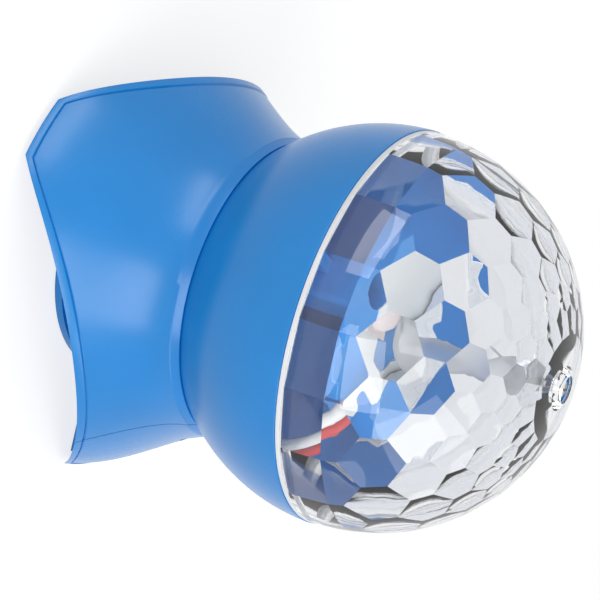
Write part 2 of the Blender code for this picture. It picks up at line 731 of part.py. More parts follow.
def rear_shell():
    shell = half_shell("stand_rear_shell", 0.0, 1)
    added = [rear_web(), foot_boss(RIGHT_FOOT[0]), foot_boss(LEFT_FOOT[0])]
    holes = [foot_pilot(RIGHT_FOOT[0]), foot_pilot(LEFT_FOOT[0])]
    for x in side_boss_places():
        boss = side_bar(x, SIDE_BOSS_RADIUS, GAP / 2 + SET_BACK, BELL_TOP_RADIUS)
        added.append(keep_inside(boss, bell_core()))
        holes.append(side_bar(x, SCREW_SHANK_RADIUS + GAP, -OVERRUN, SIDE_SCREW_SEAT + OVERRUN, SCREW_STEPS))
        holes.append(side_bar(x, SCREW_HEAD_RADIUS + GAP, SIDE_SCREW_SEAT, BELL_RIM_RADIUS))
    centre, _ = button_frame()
    tube = rod("Button tube", BUTTON_RADIUS + GAP + BUTTON_TUBE_WALL, -BUTTON_TUBE_LENGTH, -EMBED,
               "blue plastic", centre, button_turn())
    added.append(tube)
    holes.append(rod("Button hole", BUTTON_RADIUS + GAP, -BUTTON_TUBE_LENGTH - OVERRUN, OVERRUN,
                     "blue plastic", centre, button_turn()))
    return cut(join(shell, added), holes)


def side_screws():
    seat = SIDE_SCREW_SEAT + GAP
    for name, x in zip(("left", "right"), side_boss_places()):
        head_at = (x, seat, RIM_Z + SIDE_BOSS_HEIGHT_OVER_RIM)
        screw("shell_screw_" + name, SIDE_SCREW_LENGTH, head_at, ALONG_PLUS_Y, True)


# Floor plate, pads and battery box

def plate_outline():
    """Three arms that flare with fillets into a round hub."""
    across = ARM_WIDTH / 2 + ARM_FILLET
    along = math.sqrt((HUB_RADIUS + ARM_FILLET) ** 2 - across ** 2)
    turn_out = math.degrees(math.atan2(across, along))
    arm_end = bell_radius(RIM_Z) - BELL_WALL - ARM_END_MARGIN - GAP
    outline = []
    for azimuth, _ in FEET:
        radial = polar(1.0, azimuth)
        side = polar(1.0, azimuth + 90.0)
        for sign in (-1, 1):
            fillet_centre = radial * along + side * across * sign
            fillet = []
            for k in range(FILLET_STEPS + 1):
                angle = azimuth - sign * 90.0 + sign * (90.0 - turn_out) * (k / FILLET_STEPS) * -1
                fillet.append(fillet_centre + polar(ARM_FILLET, angle))
            corner_along = math.sqrt(arm_end ** 2 - (ARM_WIDTH / 2) ** 2)
            corner = radial * corner_along + side * (ARM_WIDTH / 2) * sign
            stretch = fillet[::-1] + [corner] if sign < 0 else [corner] + fillet
            outline += [(point.x, point.y) for point in stretch]
        next_azimuth = azimuth + 120.0
        hub_start = azimuth + turn_out
        hub_end = next_azimuth - turn_out
        count = 2 * FILLET_STEPS
        for k in range(1, count):
            point = polar(HUB_RADIUS, hub_start + (hub_end - hub_start) * k / count)
            outline.append((point.x, point.y))
    return outline


def base_plate():
    plate = prism("base_plate", plate_outline(), PLATE_CLEARANCE, PLATE_TOP_Z, "blue plastic")
    outer = (BOX_INNER_LENGTH + 2 * BOX_WALL, BOX_INNER_WIDTH + 2 * BOX_WALL, BOX_TOP_Z - PLATE_TOP_Z + EMBED)
    inner_top = BOX_TOP_Z - BOX_CEILING
    box = block("Box", outer, (0, 0, BOX_TOP_Z - outer[2] / 2), "blue plastic")
    opening = (BOX_INNER_LENGTH, BOX_INNER_WIDTH, inner_top + OVERRUN)
    hollow = block("Hollow", opening, (0, 0, inner_top - opening[2] / 2), "blue plastic")
    added = [box]
    holes = [hollow]
    for azimuth, _ in FEET:
        centre = polar(PLATE_SCREW_RADIUS_AT, azimuth)
        boss_top = PLATE_TOP_Z + PLATE_BOSS_HEIGHT
        seat = boss_top - PAD_RECESS - GAP
        recess_top = PLATE_CLEARANCE + PAD_RECESS
        added.append(rod("Boss", PLATE_BOSS_RADIUS, PLATE_TOP_Z - EMBED, boss_top, "blue plastic", centre))
        stepped = [
            (0, -OVERRUN),
            (PAD_RADIUS + GAP, -OVERRUN),
            (PAD_RADIUS + GAP, recess_top),
            (SCREW_HEAD_RADIUS + GAP, recess_top),
            (SCREW_HEAD_RADIUS + GAP, seat),
            (SCREW_SHANK_RADIUS + GAP, seat),
            (SCREW_SHANK_RADIUS + GAP, boss_top + OVERRUN),
            (0, boss_top + OVERRUN),
        ]
        holes.append(turned("Screw and pad hole", stepped, "blue plastic", PAD_STEPS, centre, phase=0.5))
        name = "_%d" % round(azimuth)
        screw("plate_screw" + name, PLATE_SCREW_LENGTH, centre + Vector((0, 0, seat - GAP)), (math.pi, 0, 0))
        pad = rod("foot_pad" + name, PAD_RADIUS, 0, recess_top - GAP, "dark rubber", centre, steps=PAD_STEPS)
        bevel(pad, PAD_BEVEL, 1)
    lead_holes = rod("Lead hole", LEAD_SPACING + LEAD_RADIUS + GAP, inner_top - EMBED, BOX_TOP_Z + EMBED,
                     "blue plastic")
    holes.append(lead_holes)
    return cut(join(plate, added), holes)


def door_hinge_line():
    """Y of the door's hinge, on the lower front edge of its opening."""
    return -BOX_INNER_WIDTH / 2


def battery_door():
    size = (BOX_INNER_LENGTH - 2 * GAP, BOX_INNER_WIDTH - 2 * GAP, DOOR_THICKNESS)
    centre = (0, 0, PLATE_CLEARANCE + DOOR_THICKNESS / 2)
    door = block("battery_door", size, centre, "blue plastic")
    grips = []
    for index in range(DOOR_GRIPS):
        y = size[1] / 2 - DOOR_GRIP_PITCH * (index + 1)
        grips.append(block("Grip", (DOOR_GRIP_WIDTH, DOOR_GRIP_LENGTH, 2 * DOOR_GRIP_DEPTH),
                           (0, y, PLATE_CLEARANCE), "blue plastic"))
    cut(door, grips)
    hinge = joint_empty("door_hinge", (0, door_hinge_line(), PLATE_CLEARANCE))
    carry(hinge, [door])
    return door


def cells():
    """Three cells side by side, each the other way round from its neighbour, with their contacts."""
    half = BOX_INNER_LENGTH / 2
    for index in range(CELL_COUNT):
        y = (index - (CELL_COUNT - 1) / 2) * CELL_PITCH
        flip = 1 if index % 2 == 0 else -1
        plus_end = half - CONTACT_THICKNESS - 2 * GAP
        minus_end = plus_end - CELL_LENGTH
        shoulder = plus_end - CELL_NUB_LENGTH
        section = [
            (0, minus_end),
            (CELL_RIM_RADIUS, minus_end),
            (CELL_RADIUS, minus_end + (CELL_RADIUS - CELL_RIM_RADIUS)),
            (CELL_RADIUS, shoulder - (CELL_RADIUS - CELL_RIM_RADIUS)),
            (CELL_RIM_RADIUS, shoulder),
            (CELL_NUB_RADIUS, shoulder),
            (CELL_NUB_RADIUS, plus_end),
            (0, plus_end),
        ]
        name = "_%d" % (index + 1)
        turned("cell" + name, section, "cell wrap", SMALL_STEPS, (0, y, CELL_Z), (0, flip * math.pi / 2, 0))
        contact_x = half - GAP - CONTACT_THICKNESS / 2
        contact_size = (CONTACT_THICKNESS, CONTACT_WIDTH, CONTACT_HEIGHT)
        block("plus_contact" + name, contact_size, (flip * contact_x, y, CELL_Z), "plated steel")
        block("minus_contact" + name, contact_size, (-flip * contact_x, y, CELL_Z), "plated steel")
        contact_spring("contact_spring" + name, y, -flip * (contact_x - CONTACT_THICKNESS / 2 - GAP), flip)


def contact_spring(name, y, start_x, direction):
    """A conical spring from its contact to the cell's flat end."""
    count = SPRING_TURNS * SPRING_TURN_POINTS
    length = SPRING_LENGTH - 2 * SPRING_WIRE_RADIUS - GAP
    points = []
    for k in range(count + 1):
        share = k / count
        radius = SPRING_WIDE_RADIUS + (SPRING_NARROW_RADIUS - SPRING_WIDE_RADIUS) * share
        around = polar(radius, 360.0 * SPRING_TURNS * share)
        x = start_x + direction * (SPRING_WIRE_RADIUS + length * share)
        points.append((x, y + around.x, CELL_Z + around.y))
    return tube(name, points, SPRING_WIRE_RADIUS, "bright steel", 0)


def tube(name, points, radius, finish, resolution=1):
    """A wire or lead through points, with closed ends."""
    curve = bpy.data.curves.new(name, "CURVE")
    curve.dimensions = "3D"
    curve.bevel_depth = radius
    curve.bevel_resolution = resolution
    curve.use_fill_caps = True
    spline = curve.splines.new("POLY")
    spline.points.add(len(points) - 1)
    for slot, point in zip(spline.points, points):
        slot.co = (*point, 1.0)
    curve.materials.append(material(finish))
    piece = bpy.data.objects.new(name, curve)
    bpy.context.collection.objects.link(piece)
    return piece


def smooth_route(stops):
    """Points on a smooth curve through the route's stops."""
    stops = [Vector(stop) for stop in stops]
    padded = [2 * stops[0] - stops[1]] + stops + [2 * stops[-1] - stops[-2]]
    points = []
    for before, start, end, after in zip(padded, padded[1:], padded[2:], padded[3:]):
        for k in range(LEAD_SPAN_POINTS):
            t = k / LEAD_SPAN_POINTS
            points.append(0.5 * (2 * start + (end - before) * t
                                 + (2 * before - 5 * start + 4 * end - after) * t ** 2
                                 + (3 * start - before - 3 * end + after) * t ** 3))
    return points + [stops[-1]]


# Bowl and what it holds

def bowl():
    """Rear half of the ball with its trapped neck, deck posts and driver board posts."""
    lip_z = BALL_Z + BOWL_LIP_HEIGHT
    inner_radius = BOWL_RADIUS - BOWL_WALL
    neck_bore = NECK_RADIUS - NECK_WALL
    neck_start = sphere_height(BOWL_RADIUS, NECK_RADIUS)
    bore_start = sphere_height(inner_radius, neck_bore)
    outer_end = math.asin((BALL_Z - neck_start) / BOWL_RADIUS)
    inner_end = math.asin((BALL_Z - bore_start) / inner_radius)
    section = [(BOWL_RADIUS, lip_z)]
    for row in range(BOWL_ROWS + 1):
        angle = outer_end * row / BOWL_ROWS
        section.append((BOWL_RADIUS * math.cos(angle), BALL_Z - BOWL_RADIUS * math.sin(angle)))
    flange_radius = NECK_RADIUS + NECK_FLANGE_WIDTH
    flange_top = NECK_END_Z + NECK_FLANGE_THICKNESS
    section += [(NECK_RADIUS, flange_top), (flange_radius, flange_top), (flange_radius, NECK_END_Z),
                (neck_bore, NECK_END_Z)]
    for row in range(BOWL_INNER_ROWS + 1):
        angle = inner_end * (BOWL_INNER_ROWS - row) / BOWL_INNER_ROWS
        section.append((inner_radius * math.cos(angle), BALL_Z - inner_radius * math.sin(angle)))
    section.append((inner_radius, lip_z))
    shell = turned("bowl", section, "blue plastic", BALL_STEPS)
    added = []
    holes = []
    post_top = DECK_CUP_Z - GAP
    low = BALL_Z - BOWL_RADIUS
    for azimuth in DECK_POST_AZIMUTHS:
        centre = polar(DECK_POST_AT, azimuth)
        turn = (0, 0, math.radians(azimuth))
        post = block("Deck post", (DECK_POST_DEPTH, DECK_POST_WIDTH, post_top - low),
                     polar(DECK_POST_AT, azimuth, (post_top + low) / 2), "blue plastic", turn)
        rib_top = post_top - DECK_RIB_DROP
        rib_size = (BOWL_RADIUS - DECK_POST_AT, DECK_RIB_THICKNESS, rib_top - low)
        rib_centre = polar(DECK_POST_AT + rib_size[0] / 2, azimuth, rib_top - rib_size[2] / 2)
        rib = block("Deck rib", rib_size, rib_centre, "blue plastic", turn)
        added.append(keep_inside(join(post, [rib]), ball_core()))
        holes.append(rod("Deck pilot", SCREW_SHANK_RADIUS + GAP, post_top - DECK_SCREW_LENGTH, post_top + OVERRUN,
                         "blue plastic", centre, steps=SCREW_STEPS))
    for y in (-DRIVER_POST_AT, DRIVER_POST_AT):
        post = rod("Driver post", DRIVER_POST_RADIUS, low, DRIVER_Z - GAP, "blue plastic", (0, y, 0))
        added.append(keep_inside(post, ball_core()))
        holes.append(rod("Driver pilot", SCREW_SHANK_RADIUS + GAP, DRIVER_Z - DRIVER_SCREW_LENGTH + BOARD_THICKNESS,
                         DRIVER_Z + OVERRUN, "blue plastic", (0, y, 0), steps=SCREW_STEPS))
    return cut(join(shell, added), holes)


def ball_core():
    """The space inside the bowl up to the middle of its wall."""
    radius = BOWL_RADIUS - BOWL_WALL + EMBED
    section = [(0, BALL_Z - radius)]
    for row in range(1, BOWL_ROWS + 1):
        angle = math.pi / 2 * (1 - row / BOWL_ROWS)
        section.append((radius * math.cos(angle), BALL_Z - radius * math.sin(angle)))
    section.append((0, BALL_Z))
    return turned("Ball core", section, "blue plastic", CORE_STEPS)


def deck():
    """White plate with a skirt and three deep screw cups; the lights lie on it and the motor hangs under it."""
    bore = SHAFT_RADIUS + 2 * GAP
    skirt_end = DECK_BOTTOM_Z - DECK_SKIRT_HEIGHT
    section = [
        (bore, DECK_BOTTOM_Z),
        (DECK_RADIUS - DECK_SKIRT_WIDTH, DECK_BOTTOM_Z),
        (DECK_RADIUS - DECK_SKIRT_WIDTH, skirt_end),
        (DECK_RADIUS, skirt_end),
        (DECK_RADIUS, DECK_TOP_Z),
        (bore, DECK_TOP_Z),
    ]
    plate = turned("light_deck", section, "white plastic")
    added = []
    holes = []
    seat = DECK_CUP_Z + DECK_CUP_FLOOR
    for index, azimuth in enumerate(DECK_POST_AZIMUTHS):
        centre = polar(DECK_POST_AT, azimuth)
        added.append(rod("Cup", DECK_CUP_RADIUS, DECK_CUP_Z, DECK_TOP_Z - EMBED, "white plastic", centre,
                         steps=CUP_STEPS))
        stepped = [
            (0, DECK_CUP_Z - OVERRUN),
            (SCREW_SHANK_RADIUS + GAP, DECK_CUP_Z - OVERRUN),
            (SCREW_SHANK_RADIUS + GAP, seat),
            (SCREW_HEAD_RADIUS + GAP, seat),
            (SCREW_HEAD_RADIUS + GAP, DECK_TOP_Z + OVERRUN),
            (0, DECK_TOP_Z + OVERRUN),
        ]
        holes.append(turned("Cup hole", stepped, "white plastic", CUP_STEPS, centre, phase=0.5))
        screw("deck_screw_%d" % (index + 1), DECK_SCREW_LENGTH, centre + Vector((0, 0, seat + GAP)))
    for x in (-GEARBOX_SCREW_AT, GEARBOX_SCREW_AT):
        holes.append(rod("Pilot", SCREW_SHANK_RADIUS + GAP, DECK_BOTTOM_Z - OVERRUN, DECK_TOP_Z + OVERRUN,
                         "white plastic", (x, 0, 0), steps=SCREW_STEPS))
    notch_at = polar(DECK_RADIUS, LIGHT_LEAD_AZIMUTH, DECK_TOP_Z)
    notch_size = (2 * DECK_NOTCH_DEPTH, DECK_NOTCH_WIDTH, 2 * OVERRUN)
    holes.append(block("Lead notch", notch_size, notch_at, "white plastic", (0, 0, math.radians(LIGHT_LEAD_AZIMUTH))))
    return cut(join(plate, added), holes)


def lights():
    """Round board on the deck with three emitters under domed lenses."""
    bottom = DECK_TOP_Z + GAP
    section = [
        (LIGHT_BOARD_BORE, bottom),
        (LIGHT_BOARD_RADIUS, bottom),
        (LIGHT_BOARD_RADIUS, LIGHT_BOARD_TOP_Z),
        (LIGHT_BOARD_BORE, LIGHT_BOARD_TOP_Z),
    ]
    turned("light_board", section, "white board", STEPS)
    for azimuth, colour in zip(EMITTER_AZIMUTHS, ("red", "green", "blue")):
        base_z = LIGHT_BOARD_TOP_Z + GAP
        centre = polar(EMITTER_AT, azimuth, base_z + EMITTER_HEIGHT / 2)
        emitter = block(colour + "_emitter", (EMITTER_SIZE, EMITTER_SIZE, EMITTER_HEIGHT), centre,
                        colour + " emitter", (0, 0, math.radians(azimuth)))
        lens_section = [(0, 0), (LENS_RADIUS, 0)]
        for ring in range(LENS_RINGS + 1):
            angle = math.pi / 2 * ring / LENS_RINGS
            radius = LENS_RADIUS * math.cos(angle) if ring < LENS_RINGS else 0
            lens_section.append((radius, EMBED + LENS_HEIGHT * math.sin(angle)))
        lens_at = polar(EMITTER_AT, azimuth, base_z + EMITTER_HEIGHT - EMBED)
        lens = turned("Lens", lens_section, colour + " emitter", SMALL_STEPS, lens_at)
        join(emitter, [lens])


def gear_motor():
    """Gearbox with two ears under the deck, and the flat-sided motor can below it."""
    section = [(0, GEARBOX_BOTTOM_Z), (GEARBOX_RADIUS, GEARBOX_BOTTOM_Z), (GEARBOX_RADIUS, GEARBOX_TOP_Z),
               (0, GEARBOX_TOP_Z)]
    gearbox = turned("gearbox", section, "white plastic", SMALL_STEPS)
    ear_top = GEARBOX_TOP_Z
    ear_bottom = ear_top - GEARBOX_EAR_THICKNESS
    ear_length = 2 * GEARBOX_SCREW_AT
    bar = block("Ears", (ear_length, GEARBOX_EAR_WIDTH, GEARBOX_EAR_THICKNESS),
                (0, 0, (ear_top + ear_bottom) / 2), "white plastic")
    added = [bar]
    holes = [rod("Socket", SHAFT_RADIUS + GAP, GEARBOX_TOP_Z - GEARBOX_SOCKET_DEPTH, GEARBOX_TOP_Z + OVERRUN,
                 "white plastic")]
    for name, x in (("left", -GEARBOX_SCREW_AT), ("right", GEARBOX_SCREW_AT)):
        added.append(rod("Ear end", GEARBOX_EAR_WIDTH / 2, ear_bottom, ear_top, "white plastic", (x, 0, 0)))
        holes.append(rod("Ear hole", SCREW_SHANK_RADIUS + GAP, ear_bottom - OVERRUN, ear_top + OVERRUN,
                         "white plastic", (x, 0, 0), steps=SCREW_STEPS))
        screw("motor_screw_" + name, DECK_TOP_Z - ear_bottom, (x, 0, ear_bottom - GAP), (math.pi, 0, 0))
    cut(join(gearbox, added), holes)
    can_top = GEARBOX_BOTTOM_Z - GAP
    can_bottom = can_top - MOTOR_LENGTH
    can = rod("motor", MOTOR_RADIUS, can_bottom, can_top, "bright steel")
    flats = [block("Flat", (2 * MOTOR_RADIUS + OVERRUN, MOTOR_RADIUS, MOTOR_LENGTH + OVERRUN),
                   (0, side * (MOTOR_FLAT + MOTOR_RADIUS / 2), (can_top + can_bottom) / 2), "bright steel")
             for side in (-1, 1)]
    cut(can, flats)
    tail = rod("Tail", MOTOR_TAIL_RADIUS, can_bottom - MOTOR_TAIL_LENGTH, can_bottom + EMBED, "bright steel")
    join(can, [tail])


def driver_board():
    """Circuit board across the bottom of the bowl with its chip and capacitor."""
    middle = DRIVER_Z + BOARD_THICKNESS / 2
    top = DRIVER_Z + BOARD_THICKNESS
    board = block("driver_board", (DRIVER_WIDTH, DRIVER_LENGTH, BOARD_THICKNESS), (0, 0, middle), "green board")
    chip = block("Chip", (CHIP_SIZE[0], CHIP_SIZE[1], CHIP_SIZE[2] + EMBED),
                 (CHIP_AT[0], CHIP_AT[1], top + (CHIP_SIZE[2] - EMBED) / 2), "green board")
    capacitor = rod("Capacitor", CAPACITOR_RADIUS, top - EMBED, top + CAPACITOR_HEIGHT, "green board",
                    (CAPACITOR_AT[0], CAPACITOR_AT[1], 0), steps=SCREW_STEPS)
    holes = []
    for name, y in (("front", -DRIVER_POST_AT), ("rear", DRIVER_POST_AT)):
        holes.append(rod("Board hole", SCREW_SHANK_RADIUS + GAP, DRIVER_Z - OVERRUN, top + OVERRUN, "green board",
                         (0, y, 0), steps=SCREW_STEPS))
        screw("driver_screw_" + name, DRIVER_SCREW_LENGTH - 2 * GAP, (0, y, top + GAP))
    cut(join(board, [chip, capacitor]), holes)


# Rotor: shaft, drive post, dome and its screw

def facet_plane(row, place_index):
    """Unit normal and distance from the ball's centre of one inner facet; row 0 is the upright band."""
    pitch = 2 * math.pi / FACETS_AROUND
    step = place_index + (0.5 if row > 0 and row % 2 == 0 else 0.0)
    azimuth = math.radians(FACET_TURN) + step * pitch
    if row == 0:
        return Vector((math.cos(azimuth), math.sin(azimuth), 0.0)), DOME_BAND_RADIUS
    spread = row * FACET_ROW_SHARE * pitch
    latitude = 2 * math.atan(math.exp(spread)) - math.pi / 2
    level = math.cos(latitude)
    normal = Vector((level * math.cos(azimuth), level * math.sin(azimuth), math.sin(latitude)))
    return normal, DOME_FACET_RADIUS


def meeting_point(planes):
    """The point where three planes meet."""
    matrix = Matrix([normal for normal, _ in planes])
    return matrix.inverted() @ Vector([distance for _, distance in planes])


def row_corners(row):
    """Corners above a row: where two of its facets meet one of the next row, and one meets two.

    The first list holds, for each facet, the corner on its right side; the second its top.
    """
    level = (Vector((0.0, 0.0, 1.0)), DOME_POLE_FLAT)
    sides = []
    tops = []
    for k in range(FACETS_AROUND):
        here = facet_plane(row, k)
        right = facet_plane(row, k + 1)
        if row == FACET_ROWS:
            sides.append(meeting_point([here, right, level]))
            continue
        shift = 0 if row % 2 == 1 else 1
        above = facet_plane(row + 1, k + shift)
        above_left = facet_plane(row + 1, k + shift - 1)
        sides.append(meeting_point([here, right, above]))
        tops.append(meeting_point([here, above_left, above]))
    return sides, tops


def dome():
    """Clear hemisphere: smooth outside, flat hexagons inside, and a boss at the pole for the drive post."""
    bm = bmesh.new()
    count = FACETS_AROUND
    steps = count * SECTOR_STEPS
    seam = BOWL_LIP_HEIGHT + DOME_SEAM_GAP

    def ring(points):
        return [bm.verts.new(point) for point in points]

    def circle(radius, height, parts):
        start = FACET_TURN + 180.0 / count
        return ring([polar(radius, start + 360.0 * k / parts, height) for k in range(parts)])

    def stretched(corners):
        points = []
        for k in range(count):
            start, end = corners[k], corners[(k + 1) % count]
            points += [start.lerp(end, part / SECTOR_STEPS) for part in range(SECTOR_STEPS)]
        return points

    # Facets, from the band at the seam up to the flat round the pole
    band_foot_corners = []
    band_top_corners = []
    floor = (Vector((0.0, 0.0, 1.0)), seam)
    for k in range(count):
        here, right = facet_plane(0, k), facet_plane(0, k + 1)
        band_foot_corners.append(meeting_point([here, right, floor]))
        band_top_corners.append(meeting_point([here, right, facet_plane(1, k)]))
    foot = ring(stretched(band_foot_corners))
    band_top = ring(band_top_corners)
    sides, tops = [], []
    for row in range(1, FACET_ROWS):
        side_points, top_points = row_corners(row)
        sides.append(ring(side_points))
        tops.append(ring(top_points))
    pole_edge = ring(stretched(row_corners(FACET_ROWS)[0]))
    for k in range(count):
        left = (k - 1) % count
        stretch = [foot[(left * SECTOR_STEPS + part) % steps] for part in range(SECTOR_STEPS + 1)]
        bm.faces.new(stretch + [band_top[k], band_top[left]])
        bm.faces.new([band_top[left], band_top[k], sides[0][k], tops[0][k], sides[0][left]])
    for row in range(2, FACET_ROWS + 1):
        low_sides, low_tops = sides[row - 2], tops[row - 2]
        for k in range(count):
            left = (k - 1) % count
            below = k if row % 2 == 0 else left
            corners = [low_tops[below], low_sides[below], low_tops[(below + 1) % count]]
            if row < FACET_ROWS:
                corners += [sides[row - 1][k], tops[row - 1][k], sides[row - 1][left]]
            else:
                upper = [pole_edge[(left * SECTOR_STEPS + part) % steps] for part in range(SECTOR_STEPS + 1)]
                corners += upper[::-1]
            bm.faces.new(corners)

    # Flat round the pole, then the boss, its socket and the screw hole
    boss = [
        (DOME_BOSS_RADIUS, DOME_POLE_FLAT),
        (DOME_BOSS_RADIUS, DOME_BOSS_END),
        (POST_TOP_RADIUS + GAP, DOME_BOSS_END),
        (POST_TOP_RADIUS + GAP, DOME_SOCKET_TOP),
        (SCREW_SHANK_RADIUS + GAP, DOME_SOCKET_TOP),
        (SCREW_SHANK_RADIUS + GAP, DOME_RECESS_FLOOR),
    ]

    # Recess for the screw's head, and the smooth outside
    outside = [(DOME_RECESS_RADIUS, DOME_RECESS_FLOOR)]
    top_angle = math.acos(DOME_RECESS_RADIUS / DOME_RADIUS)
    seam_angle = math.asin(seam / DOME_RADIUS)
    for row in range(DOME_ROWS + 1):
        angle = top_angle + (seam_angle - top_angle) * row / DOME_ROWS
        outside.append((DOME_RADIUS * math.cos(angle), DOME_RADIUS * math.sin(angle)))
    loops = [pole_edge]
    loops += [circle(radius, height, count) for radius, height in boss]
    loops += [circle(radius, height, steps) for radius, height in outside]
    loops.append(foot)
    for first, second in zip(loops, loops[1:]):
        join_loops(bm, first, second)
    return place("dome", bm, "clear plastic", (0, 0, BALL_Z), smooth_angle=8.0)


def rotor():
    pin = rod("output_shaft", SHAFT_RADIUS, SHAFT_BOTTOM_Z, SHAFT_BOTTOM_Z + SHAFT_LENGTH, "bright steel",
              steps=SCREW_STEPS)
    bore = SHAFT_RADIUS + GAP
    screw_bore = SCREW_SHANK_RADIUS + GAP
    boss_end = BALL_Z + DOME_BOSS_END
    section = [
        (0, POST_BOTTOM_Z + POST_BORE_DEPTH),
        (bore, POST_BOTTOM_Z + POST_BORE_DEPTH),
        (bore, POST_BOTTOM_Z),
        (POST_HUB_RADIUS, POST_BOTTOM_Z),
        (POST_HUB_RADIUS, POST_BOTTOM_Z + POST_HUB_LENGTH),
        (POST_WAIST_RADIUS, POST_BOTTOM_Z + POST_HUB_LENGTH),
        (POST_TOP_RADIUS, boss_end - GAP),
        (POST_TOP_RADIUS, POST_TOP_Z),
        (screw_bore, POST_TOP_Z),
        (screw_bore, POST_TOP_Z - DOME_SCREW_LENGTH),
        (0, POST_TOP_Z - DOME_SCREW_LENGTH),
    ]
    post = turned("drive_post", section, "clear plastic", SMALL_STEPS)
    shell = dome()
    pole_screw = screw("dome_screw", DOME_SCREW_LENGTH, (0, 0, BALL_Z + DOME_RECESS_FLOOR + GAP), slotted=True,
                       head_radius=DOME_SCREW_HEAD_RADIUS)
    axis = joint_empty("dome_axis", (0, 0, BALL_Z))
    carry(axis, [pin, post, shell, pole_screw])


# Power button and its switch

def power_button():
    centre, _ = button_frame()
    section = [
        (0, BUTTON_PROUD - BUTTON_LENGTH),
        (BUTTON_RADIUS, BUTTON_PROUD - BUTTON_LENGTH),
        (BUTTON_RADIUS, BUTTON_PROUD - BUTTON_BEVEL),
        (BUTTON_RADIUS - BUTTON_BEVEL, BUTTON_PROUD),
        (0, BUTTON_PROUD),
    ]
    turned("power_button", section, "white plastic", SMALL_STEPS, centre, button_turn())
    block("power_switch", (SWITCH_WIDTH, SWITCH_WIDTH, SWITCH_DEPTH), switch_centre(), "grey plastic",
          button_turn())


# Leads

def supply_leads():
    """Red and black leads from the battery box up through the neck to the driver board."""
    low_share, high_share = SUPPLY_LEAD_BEND_SHARES
    for name, side in (("red", -1), ("black", 1)):
        x = side * LEAD_SPACING / 2
        start_z = CELL_Z + CELL_RADIUS + GAP + LEAD_RADIUS
        rise = DRIVER_Z - start_z
        stops = [
            (x, 0, start_z),
            (x, 0, start_z + rise * low_share),
            (x + side * LEAD_SPACING, LEAD_SPACING, start_z + rise * high_share),
            (x, 0, DRIVER_Z - GAP),
        ]
        tube("supply_lead_" + name, smooth_route(stops), LEAD_RADIUS, name + " lead")


def light_leads():
    """White and red leads from the driver board up the bowl's wall, over the deck's edge to the light board."""
    board_top = DRIVER_Z + BOARD_THICKNESS
    lead_z = LIGHT_BOARD_TOP_Z + LIGHT_LEAD_RADIUS + GAP
    for name, side in (("white", -1), ("red", 1)):

        def stop(radius, z, azimuth):
            beside = polar(side * LIGHT_LEAD_SPACING / 2, azimuth + 90.0)
            return polar(radius, azimuth, z) + beside

        start = Vector((DRIVER_WIDTH / 2 - 2 * LIGHT_LEAD_RADIUS, side * LIGHT_LEAD_SPACING / 2 - DRIVER_POST_AT,
                        board_top + LIGHT_LEAD_RADIUS + GAP))
        wall_radius, wall_drop = LIGHT_LEAD_WALL
        low_radius, low_drop = LIGHT_LEAD_LOW
        crest_radius, crest_rise = LIGHT_LEAD_CREST
        stops = [
            start,
            start + Vector((0, 0, 2 * LIGHT_LEAD_SPACING)),
            stop(low_radius, BALL_Z + low_drop, LIGHT_LEAD_LOW_AZIMUTH),
            stop(wall_radius, BALL_Z + wall_drop, LIGHT_LEAD_WALL_AZIMUTH),
            stop(crest_radius, BALL_Z + crest_rise, (LIGHT_LEAD_AZIMUTH + LIGHT_LEAD_WALL_AZIMUTH) / 2),
            stop(DECK_RADIUS - DECK_NOTCH_DEPTH, lead_z, LIGHT_LEAD_AZIMUTH),
            stop(LIGHT_BOARD_RADIUS - LIGHT_LEAD_SPACING, lead_z, LIGHT_LEAD_AZIMUTH),
        ]
        tube("light_lead_" + name, smooth_route(stops), LIGHT_LEAD_RADIUS, name + " lead")


def centre_outline():
    """Move the part along Y until the origin lies under the middle of its outline."""
    bpy.context.view_layer.update()
    solids = [piece for piece in bpy.data.objects if piece.type != "EMPTY"]
    reach = [(piece.matrix_world @ Vector(corner)).y for piece in solids for corner in piece.bound_box]
    shift = (min(reach) + max(reach)) / 2
    for piece in bpy.data.objects:
        if piece.parent is None:
            piece.location.y -= shift
    bpy.context.view_layer.update()
    print("stand axis at y = %.6f, ball centre at z = %.6f" % (-shift, BALL_Z))


def build():
    for old in list(bpy.data.objects):
        bpy.data.objects.remove(old, do_unlink=True)
    front_shell()
    rear_shell()
    side_screws()
    base_plate()
    battery_door()
    cells()
    bowl()
    deck()
    lights()
    gear_motor()
    driver_board()
    rotor()
    power_button()
    supply_leads()
    light_leads()
    centre_outline()


build()
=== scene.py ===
# %% [markdown]
# # A ball lamp that throws coloured stars
# A clear dome with facets inside turns over three coloured lights. A blue bowl closes the ball from behind and
# a bell on three feet holds it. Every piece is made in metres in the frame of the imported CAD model.

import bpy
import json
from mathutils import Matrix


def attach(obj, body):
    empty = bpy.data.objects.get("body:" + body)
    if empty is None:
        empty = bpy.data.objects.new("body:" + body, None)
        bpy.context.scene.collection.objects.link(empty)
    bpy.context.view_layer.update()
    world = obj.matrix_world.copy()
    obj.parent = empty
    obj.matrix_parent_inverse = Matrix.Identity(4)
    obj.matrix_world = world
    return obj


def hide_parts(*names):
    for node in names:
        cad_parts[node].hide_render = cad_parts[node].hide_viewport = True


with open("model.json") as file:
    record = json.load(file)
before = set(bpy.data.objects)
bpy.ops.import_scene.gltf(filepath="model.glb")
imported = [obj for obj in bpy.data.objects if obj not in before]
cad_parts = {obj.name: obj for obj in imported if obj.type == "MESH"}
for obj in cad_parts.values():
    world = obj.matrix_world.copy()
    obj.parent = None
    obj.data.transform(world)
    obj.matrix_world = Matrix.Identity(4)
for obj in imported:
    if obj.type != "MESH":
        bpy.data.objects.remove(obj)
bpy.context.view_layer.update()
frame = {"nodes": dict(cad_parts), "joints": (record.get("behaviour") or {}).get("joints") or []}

# %% Tools and units
import json
import math

